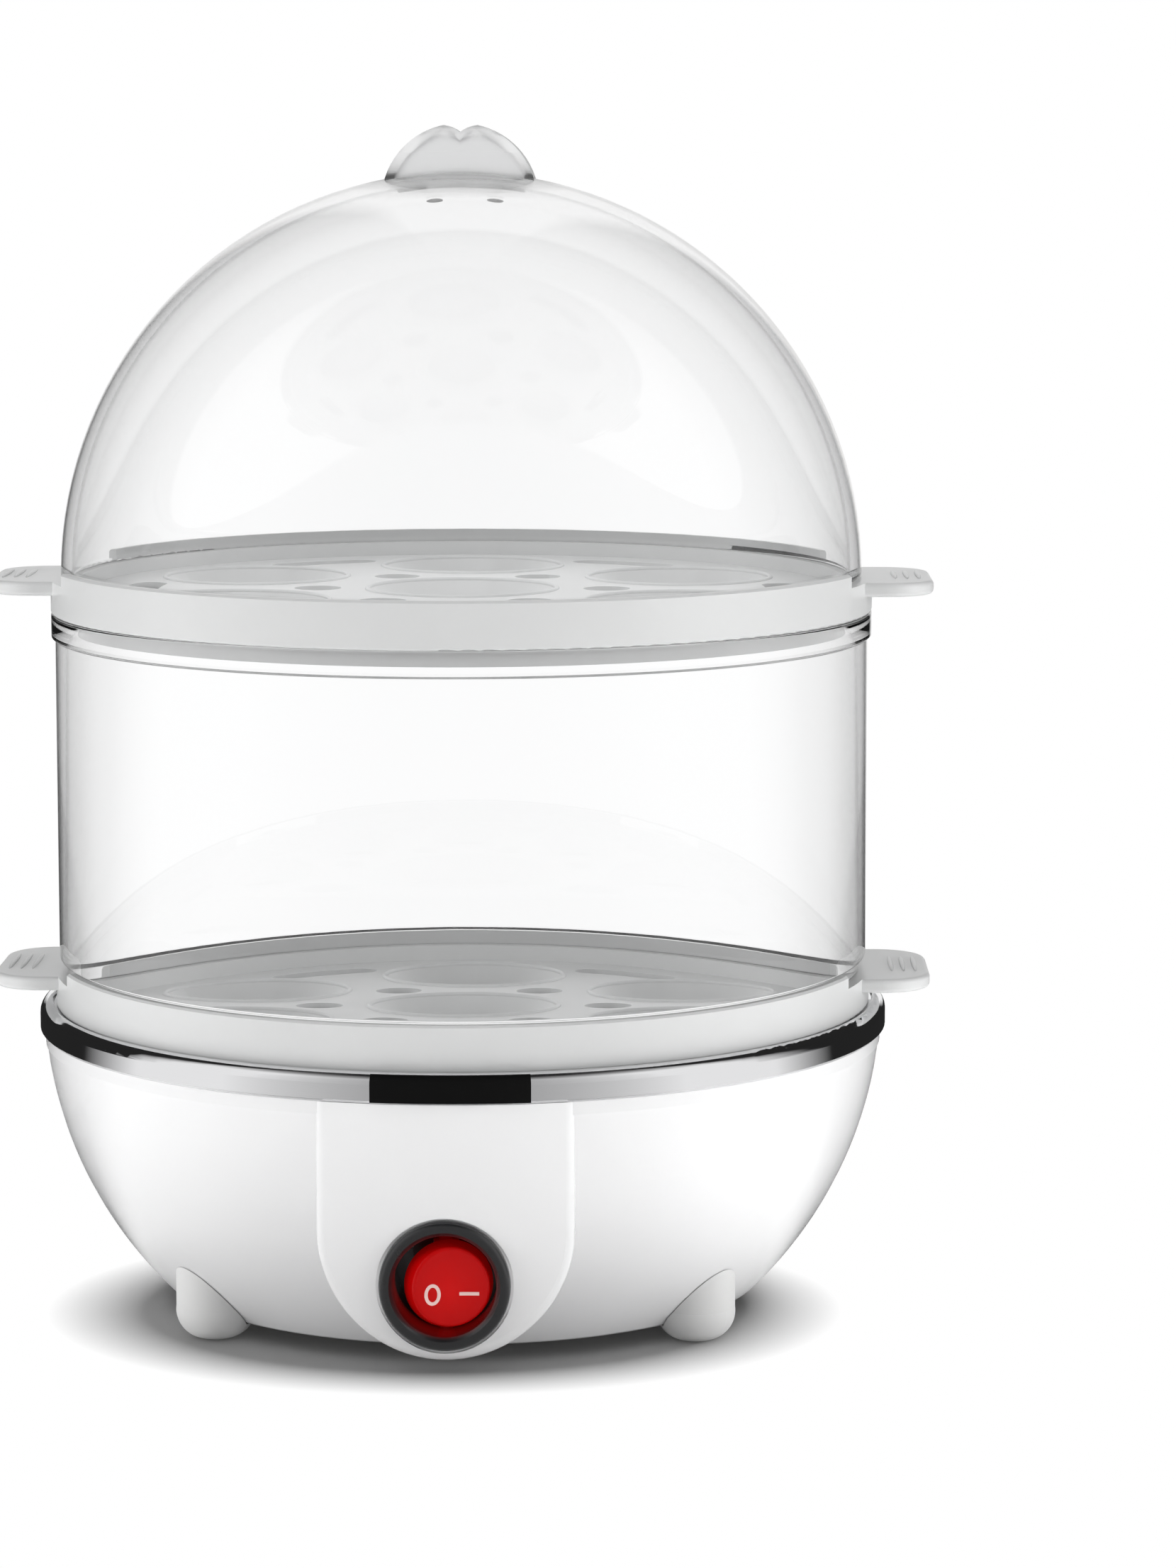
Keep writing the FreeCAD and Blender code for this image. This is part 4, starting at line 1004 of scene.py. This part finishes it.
@dataclass
class Underside:
    """The bottom cover with its screws, and the heater and wiring above it."""

    screw_count: int = 3
    first_angle: float = 30.0
    screw_sides: int = 24
    head_radius: float = 2.8 * MM
    head_brim: float = 0.2 * MM
    head_height: float = 1.6 * MM
    shank_radius: float = 1.45 * MM
    shank_length: float = 6.4 * MM
    taper_start: float = 0.85
    tip_share: float = 0.35
    recess_half: float = 1.5 * MM
    recess_width: float = 0.7 * MM
    recess_depth: float = 0.9 * MM

    def build(self) -> None:
        """Dress the pieces under the dish and make the cover's screws."""
        dress_nodes(
            bottom_cover=COVER, dish_nuts=PLATED, dish_washers=PLATED,
            heat_spreader=ALUMINIUM, heating_element=SHEATH, element_pins=PLATED,
            thermostat=PHENOLIC, thermostat_tabs=BRASS, thermostat_strap=PLATED,
            strap_nuts=PLATED, thermal_fuse=SLEEVE, terminal_block=BLOCK,
            terminal_screws=PLATED, cord_clamp=PHENOLIC)
        self.screws()

    def screw_mesh(self) -> Mesh:
        """Return one countersunk screw with a cross recess, head down, tip up.

        Returns:
            The mesh, its head's face at height 0.
        """
        form = bmesh.new()
        sides = self.screw_sides
        levels = [(self.head_radius, 0.0), (self.head_radius, self.head_brim),
                  (self.shank_radius, self.head_height),
                  (self.shank_radius, self.head_height + self.shank_length * self.taper_start),
                  (self.shank_radius * self.tip_share, self.head_height + self.shank_length)]
        rings = [[form.verts.new((x, y, height)) for x, y in oval(sides, radius, radius)]
                 for radius, height in levels]
        for below, above in zip(rings, rings[1:]):
            for k in range(sides):
                form.faces.new((below[k], below[(k + 1) % sides], above[(k + 1) % sides],
                                above[k]))
        form.faces.new(rings[-1])
        floor = self.cross_outline(form, self.recess_depth)
        brim = self.cross_outline(form, 0.0)
        form.faces.new(floor[::-1])
        count = len(brim)
        for k in range(count):
            form.faces.new((brim[(k + 1) % count], brim[k], floor[k], floor[(k + 1) % count]))
        edges = [form.edges.get((loop[k], loop[(k + 1) % len(loop)]))
                 for loop in (brim, rings[0]) for k in range(len(loop))]
        bmesh.ops.triangle_fill(form, edges=edges, use_beauty=True)
        return closed_mesh("cover_screw_form", form)

    def cross_outline(self, form: BMesh, height: float) -> list[BMVert]:
        """Add the twelve corners of the cross recess.

        Args:
            form: The mesh being built.
            height: The level that they lie at.

        Returns:
            The corners, in order round the cross.
        """
        a, b = self.recess_half, self.recess_width / 2.0
        quarter = [(a, -b), (a, b), (b, b)]
        turns = [quarter, [(-y, x) for x, y in quarter], [(-x, -y) for x, y in quarter],
                 [(y, -x) for x, y in quarter]]
        return [form.verts.new((x, y, height)) for turn in turns for x, y in turn]

    def screws(self) -> None:
        """Set the screws into the cover's countersinks."""
        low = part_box("cover_screws")[0]
        screws = axis_copies_recipe().cook(
            "cover_screws_crossed", self.screw_mesh(), PLATED, Count=self.screw_count,
            Pitch_Radius=-low.y - self.head_radius,
            First_Angle=math.radians(self.first_angle), Level=low.z)
        settle(screws, Body.BASE, PLATED, ["cover_screws"])


@dataclass
class RockerSwitch:
    """The round rocker switch: its case, lamp, red rocker and the marks on its face."""

    case_colour: Colour = (0.012, 0.012, 0.013)
    # painted glow: the lamp's red light, painted as emission on bezel and rocker
    painted_lamp_glow: Colour = (1.0, 0.008, 0.006)
    face_reach: float = 7.0 * MM
    face_radius: float = 6.7 * MM
    # painted glow on the bezel's bore: how far it reaches and how far in front of the pivot it
    # is centred
    painted_bore_glow_reach: float = 10.1 * MM
    painted_bore_glow_depth: float = 3.5 * MM
    # painted glow on the rocker's face: its reach and its shift from the face's middle
    painted_face_glow_reach: float = 13.0 * MM
    painted_face_glow_shift: float = 1.0 * MM
    rest_turn: float = 9.0
    mark_offset: float = 3.2 * MM
    mark_drop: float = 1.2 * MM
    ring_half: tuple[float, float] = (1.15 * MM, 1.6 * MM)
    ring_steps: int = 40
    bar_half: tuple[float, float] = (1.7 * MM, 0.3 * MM)
    bar_steps: int = 12
    stroke: float = 0.6 * MM
    raise_by: float = 0.06 * MM
    sink_by: float = 0.1 * MM

    def build(self) -> None:
        """Dress the switch, with the lamp's red glow painted on rocker and bezel, and mark its
        rocker.
        """
        pivot = self.pivot()
        # painted light: a red glow emitted on the black bezel's bore, standing in for lamp light
        # through the rocker
        case = PaintedLampGlow(
            "bezel_gloss_black", self.case_colour, 0.22, deep=self.case_colour,
            glow=self.painted_lamp_glow, glow_strength=0.9, reach=self.painted_bore_glow_reach, specular=0.5,
            centre=(pivot.x, pivot.y - self.painted_bore_glow_depth, pivot.z), coat=0.3)
        # red plastic, its own colour, with the lamp's light painted on: painted glow and
        # brighter red near a centre, deeper red away from it
        rocker = PaintedLampGlow(
            "rocker_lit_red", (0.48, 0.002, 0.002), 0.16, deep=(0.36, 0.0, 0.001),
            glow=self.painted_lamp_glow, glow_strength=0.12, reach=self.painted_face_glow_reach,
            centre=(pivot.x + self.painted_face_glow_shift, pivot.y - self.face_reach,
                    pivot.z - self.painted_face_glow_shift))
        dress_nodes(switch_body=case, switch_tabs=BRASS, switch_lamp=LAMP_GLASS,
                    switch_rocker=rocker)
        self.marks()

    def pivot(self) -> Vector:
        """Return the rocker's pivot."""
        return next(Vector(j["pos_m"]) for j in frame["joints"] if j["name"] == "rocker_tilt")

    def face_depth(self, across: float) -> float:
        """Return how far the hollow face lies in front of its middle.

        Args:
            across: Distance from the face's middle, along its width.

        Returns:
            The distance towards the user, in metres.
        """
        rise = self.face_radius * math.tan(math.radians(self.rest_turn))
        hollow = (self.face_radius ** 2 + rise ** 2) / (2.0 * rise)
        return hollow - math.sqrt(hollow ** 2 - across ** 2)

    def marks(self) -> None:
        """Mark the face with a ring for off and a bar for on."""
        form = bmesh.new()
        self.ring_mark(form)
        self.bar_mark(form)
        turn = Matrix.Rotation(math.radians(self.rest_turn), 4, "Z")
        bmesh.ops.transform(form, matrix=Matrix.Translation(self.pivot()) @ turn,
                            verts=form.verts)
        piece = scene_object("rocker_marks", closed_mesh("rocker_marks", form))
        settle(piece, Body.ROCKER, LEGEND)

    def face_point(self, x: float, z: float, lift: float) -> Vector:
        """Return a point over the hollow face, seen from the pivot."""
        return Vector((x, -self.face_reach - self.face_depth(x) - lift, z))

    def strip(self, form: BMesh, inner: Sequence[tuple[float, float]],
              outer: Sequence[tuple[float, float]], closed: bool) -> None:
        """Add a raised strip between two lines on the face.

        Args:
            form: The mesh being built.
            inner: One side's points, across and up.
            outer: The other side's points.
            closed: Whether the strip joins up with its start.
        """
        rows = []
        for line, lift in ((inner, -self.sink_by), (inner, self.raise_by),
                           (outer, self.raise_by), (outer, -self.sink_by)):
            rows.append([form.verts.new(self.face_point(x, z, lift)) for x, z in line])
        count = len(inner)
        for k in range(count if closed else count - 1):
            following = (k + 1) % count
            for row, beside in zip(rows, rows[1:] + rows[:1]):
                form.faces.new((row[k], row[following], beside[following], beside[k]))
        if not closed:
            form.faces.new([row[0] for row in rows])
            form.faces.new([row[-1] for row in rows][::-1])

    def ring_mark(self, form: BMesh) -> None:
        """Add the ring on the left half.

        Args:
            form: The mesh being built.
        """
        half_x, half_z = self.ring_half
        inner, outer = ([(x - self.mark_offset, z - self.mark_drop)
                         for x, z in oval(self.ring_steps, half_x + grow, half_z + grow)]
                        for grow in (-self.stroke / 2.0, self.stroke / 2.0))
        self.strip(form, inner, outer, True)

    def bar_mark(self, form: BMesh) -> None:
        """Add the bar on the right half.

        Args:
            form: The mesh being built.
        """
        half_x, half_z = self.bar_half
        xs = [self.mark_offset + half_x * (2.0 * k / self.bar_steps - 1.0)
              for k in range(self.bar_steps + 1)]
        self.strip(form, [(x, -self.mark_drop - half_z) for x in xs],
                   [(x, -self.mark_drop + half_z) for x in xs], False)


@dataclass
class EggTray:
    """One of the two egg trays, with its lipped seats and ribbed ears."""

    node: str
    body: Body
    seat_count: int = 6
    seat_pitch: float = 47.0 * MM
    seat_mouth: float = 17.5 * MM
    first_seat: float = -90.0
    bead_radius: float = 0.45 * MM
    spigot_depth: float = 3.0 * MM
    floor_height: float = 3.6 * MM
    ledge_height: float = 6.2 * MM
    rib_count: int = 3
    rib_pitch: float = 2.2 * MM
    rib_half_length: float = 8.0 * MM
    rib_radius: float = 0.5 * MM
    rib_edge_gap: float = 2.6 * MM

    def build(self) -> None:
        """Dress the tray and add its small relief."""
        dress_nodes(**{self.node: TRAY})
        self.beads()
        self.ribs()

    def rim_base(self) -> float:
        """Return the height that the tray's rim stands at."""
        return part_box(self.node)[0].z + self.spigot_depth

    def beads(self) -> None:
        """Round off the mouth of each egg seat."""
        beads = seat_bead_recipe().cook(
            self.node + "_seat_lips", None, TRAY, Count=self.seat_count,
            Pitch_Radius=self.seat_pitch, First_Angle=math.radians(self.first_seat),
            Mouth_Radius=self.seat_mouth + self.bead_radius / 2.0,
            Bead_Radius=self.bead_radius, Level=self.rim_base() + self.floor_height)
        settle(beads, self.body, TRAY)

    def ribs(self) -> None:
        """Add the grip ribs on both ears."""
        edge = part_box(self.node)[1].x
        start = edge - self.rib_edge_gap - self.rib_pitch * (self.rib_count - 1)
        ribs = rib_row_recipe().cook(
            self.node + "_ear_ribs", None, TRAY, Count=self.rib_count, Start=start,
            Pitch=self.rib_pitch, Half_Length=self.rib_half_length,
            Rib_Radius=self.rib_radius, Level=self.rim_base() + self.ledge_height)
        settle(ribs, self.body, TRAY)


@dataclass
class ClearWalls:
    """The clear middle ring and the domed lid with its grip."""

    wall: float = 2.0 * MM
    outer_radius: float = 75.7 * MM
    spigot_radius: float = 74.5 * MM
    spigot_height: float = 2.7 * MM
    flange_height: float = 4.6 * MM
    corner: float = 0.5 * MM
    segments: int = 256

    def build(self) -> None:
        """Make the ring and dress the lid."""
        self.ring()
        dress_nodes(dome_lid=CLEAR)

    def ring(self) -> None:
        """Turn the middle ring with softly rounded edges."""
        low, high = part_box("middle_ring")
        inner = self.outer_radius - self.wall
        shoulder = low.z + self.spigot_height
        step = high.z - self.flange_height
        section = [(inner, low.z), (self.spigot_radius, low.z), (self.spigot_radius, shoulder),
                   (self.outer_radius, shoulder), (self.outer_radius, step), (high.x, step),
                   (high.x, high.z), (inner, high.z)]
        points = [(r - self.outer_radius, -z, 0.0) for r, z in section]
        count = len(points)
        mesh = bpy.data.meshes.new("ring_section")
        mesh.from_pydata(points, [(k, (k + 1) % count) for k in range(count)], [])
        ring = turned_wall_recipe().cook(
            "middle_ring_rounded", mesh, CLEAR, Corner_Radius=self.corner,
            Path_Radius=self.outer_radius, Segments=self.segments)
        settle(ring, Body.RING, CLEAR, ["middle_ring"])


# ------------------------------------------------------------------ studio
class Lights(Enum):
    """What a lamp shines on."""

    BOILER = "EXCLUDE"
    FLOOR = "INCLUDE"


@dataclass(frozen=True)
class Softbox:
    """A square soft lamp, placed by the way it faces the boiler."""

    name: str
    azimuth: float
    elevation: float
    distance: float
    size: float
    level: float
    lights: Lights = Lights.BOILER
    aim_height: float = 0.06

    def hang(self, floor: Object) -> None:
        """Hang the lamp, aimed at the boiler.

        Args:
            floor: The floor, which each lamp either lights alone or leaves out.
        """
        turn, rise = math.radians(self.azimuth), math.radians(self.elevation)
        way = Vector((math.cos(rise) * math.sin(turn), -math.cos(rise) * math.cos(turn),
                      math.sin(rise)))
        data = bpy.data.lights.new(self.name, "AREA")
        data.shape = "SQUARE"
        data.size = self.size
        data.energy = self.level * (math.pi * self.distance) ** 2
        lamp = scene_object(self.name, data)
        lamp.location = way * self.distance + Vector((0.0, 0.0, self.aim_height))
        lamp.rotation_euler = (-way).to_track_quat("-Z", "Y").to_euler()
        for ray in ("camera", "transmission", "glossy"):
            setattr(lamp, "visible_" + ray, False)
        group = bpy.data.collections.new(self.name + "_lights")
        group.objects.link(floor)
        group.collection_objects[0].light_linking.link_state = self.lights.value
        lamp.light_linking.receiver_collection = group


def mirrored(sheet: NodeSheet, rays: NodeOutputs) -> NodeSocket:
    """Return 1 for reflected rays only; a ray through glass counts as glossy as well."""
    return sheet.math("MAXIMUM", sheet.minus(rays["Is Glossy Ray"],
                                             rays["Is Transmission Ray"]), 0.0)


@dataclass
class Studio:
    """The pale floor, the soft lamps and the white surroundings with their dark sides."""

    floor_half: float = 12.0
    floor_roughness: float = 0.9
    floor_seen: Colour = (0.5, 0.5, 0.5)
    floor_bounce: Colour = (0.95, 0.95, 0.95)
    floor_behind: Colour = (0.55, 0.55, 0.55)
    behind_end: float = 0.1
    floor_lift: float = 0.02
    fade_centre: tuple[float, float, float] = (-0.003, -0.016, 0.0)
    fade_squeeze: float = 1.18
    fade_start: float = 0.056
    fade_end: float = 0.074
    surround: float = 0.25
    softboxes: tuple[Softbox, ...] = (
        Softbox("left_softbox", -70.0, 4.0, 1.1, 0.7, 0.69),
        Softbox("right_softbox", 69.0, 4.0, 1.1, 0.7, 0.67),
        Softbox("top_softbox", 0.0, 82.0, 1.2, 0.9, 0.42),
        Softbox("floor_softbox", 165.0, 74.0, 1.2, 0.25, 2.1, Lights.FLOOR),
    )

    def build(self) -> None:
        """Set up floor, world and lamps."""
        floor = self.floor()
        self.world()
        for softbox in self.softboxes:
            softbox.hang(floor)

    def floor(self) -> Object:
        """Lay the floor: real shading under the boiler, plain white further out.

        Returns:
            The floor's object.
        """
        h = self.floor_half
        mesh = bpy.data.meshes.new("floor")
        mesh.from_pydata([(-h, -h, 0.0), (h, -h, 0.0), (h, h, 0.0), (-h, h, 0.0)], [],
                         [(0, 1, 2, 3)])
        floor = scene_object("studio_floor", mesh)
        sheet = MaterialSheet("floor_white")
        rays = sheet.add("ShaderNodeLightPath").outputs
        behind = sheet.remap(sheet.split(sheet.place)["Y"], 0.0, self.behind_end)
        bounce = sheet.blend_colour(behind, self.floor_bounce, self.floor_behind)
        sheet.put(Base_Color=sheet.blend_colour(rays["Is Camera Ray"], bounce,
                                                self.floor_seen),
                  Roughness=self.floor_roughness, Specular_IOR_Level=0.0)
        mirror = mirrored(sheet, rays)
        seen = sheet.math("MAXIMUM", rays["Is Camera Ray"],
                          sheet.math("MAXIMUM", mirror, rays["Is Transmission Ray"]))
        lift = sheet.step("ShaderNodeEmission", Strength=sheet.times(seen, self.floor_lift))
        near = sheet.add("ShaderNodeAddShader")
        sheet.feed_all(near, (sheet.shader.outputs["BSDF"], lift))
        offset = sheet.vector("SUBTRACT", sheet.place, self.fade_centre)
        squeezed = sheet.vector("MULTIPLY", offset, (1.0, self.fade_squeeze, 1.0))
        far = sheet.remap(sheet.vector("LENGTH", squeezed), self.fade_start, self.fade_end)
        shown = sheet.times(mirror, sheet.effect(Effect.SIDES)["Light"])
        blank = sheet.step("ShaderNodeEmission",
                           Strength=sheet.plus(sheet.minus(1.0, mirror), shown))
        sheet.mix_surface(sheet.times(far, seen), near.outputs[0], blank)
        mesh.materials.append(sheet.material)
        return floor

    def world(self) -> None:
        """Make the surroundings: white to look at, with dark sides for reflections."""
        world = bpy.data.worlds.new("studio")
        bpy.context.scene.world = world
        world.use_nodes = True
        sheet = NodeSheet(world.node_tree)
        sheet.tree.nodes.clear()
        way = sheet.add("ShaderNodeTexCoord").outputs["Generated"]
        rays = sheet.add("ShaderNodeLightPath").outputs
        mirror = mirrored(sheet, rays)
        clear = sheet.math("MAXIMUM", rays["Is Camera Ray"], rays["Is Transmission Ray"])
        plain = sheet.times(sheet.minus(1.0, mirror), sheet.minus(1.0, clear))
        shown = sheet.times(mirror, sheet.effect(Effect.SIDES, Vector=way)["Light"])
        strength = sheet.plus(sheet.times(plain, self.surround), sheet.plus(clear, shown))
        background = sheet.step("ShaderNodeBackground", Color=(1.0, 1.0, 1.0, 1.0),
                                Strength=strength)
        sheet.add("ShaderNodeOutputWorld", Surface=background)


@dataclass
class Viewpoint:
    """The camera, a little to the right of the axis and looking slightly down."""

    place: tuple[float, float, float] = (0.0235, -0.870, 0.2168)
    turn: float = 1.0
    pitch_down: float = 7.87
    focal_px: float = 6595.0
    sensor: float = 36.0
    clip: tuple[float, float] = (0.01, 20.0)

    def build(self) -> None:
        """Set up the camera."""
        data = bpy.data.cameras.new("viewpoint")
        data.sensor_width = self.sensor
        data.lens = self.focal_px / max(PHOTO_WIDTH, PHOTO_HEIGHT) * self.sensor
        data.clip_start, data.clip_end = self.clip
        camera = scene_object("viewpoint", data)
        turn = math.radians(self.turn)
        camera.location = Matrix.Rotation(turn, 3, "Z") @ Vector(self.place)
        camera.rotation_euler = (math.radians(90.0 - self.pitch_down), 0.0, turn)
        bpy.context.scene.camera = camera


def main() -> None:
    """Build the scene in order."""
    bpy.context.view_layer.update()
    Viewpoint().build()
    Studio().build()
    BaseUnit().build()
    Underside().build()
    RockerSwitch().build()
    EggTray("lower_tray", Body.LOWER_TRAY).build()
    EggTray("upper_tray", Body.UPPER_TRAY).build()
    ClearWalls().build()
    bpy.context.scene.view_settings.view_transform = "Standard"
    log.info("scene ready")


if __name__ == "__main__":
    main()
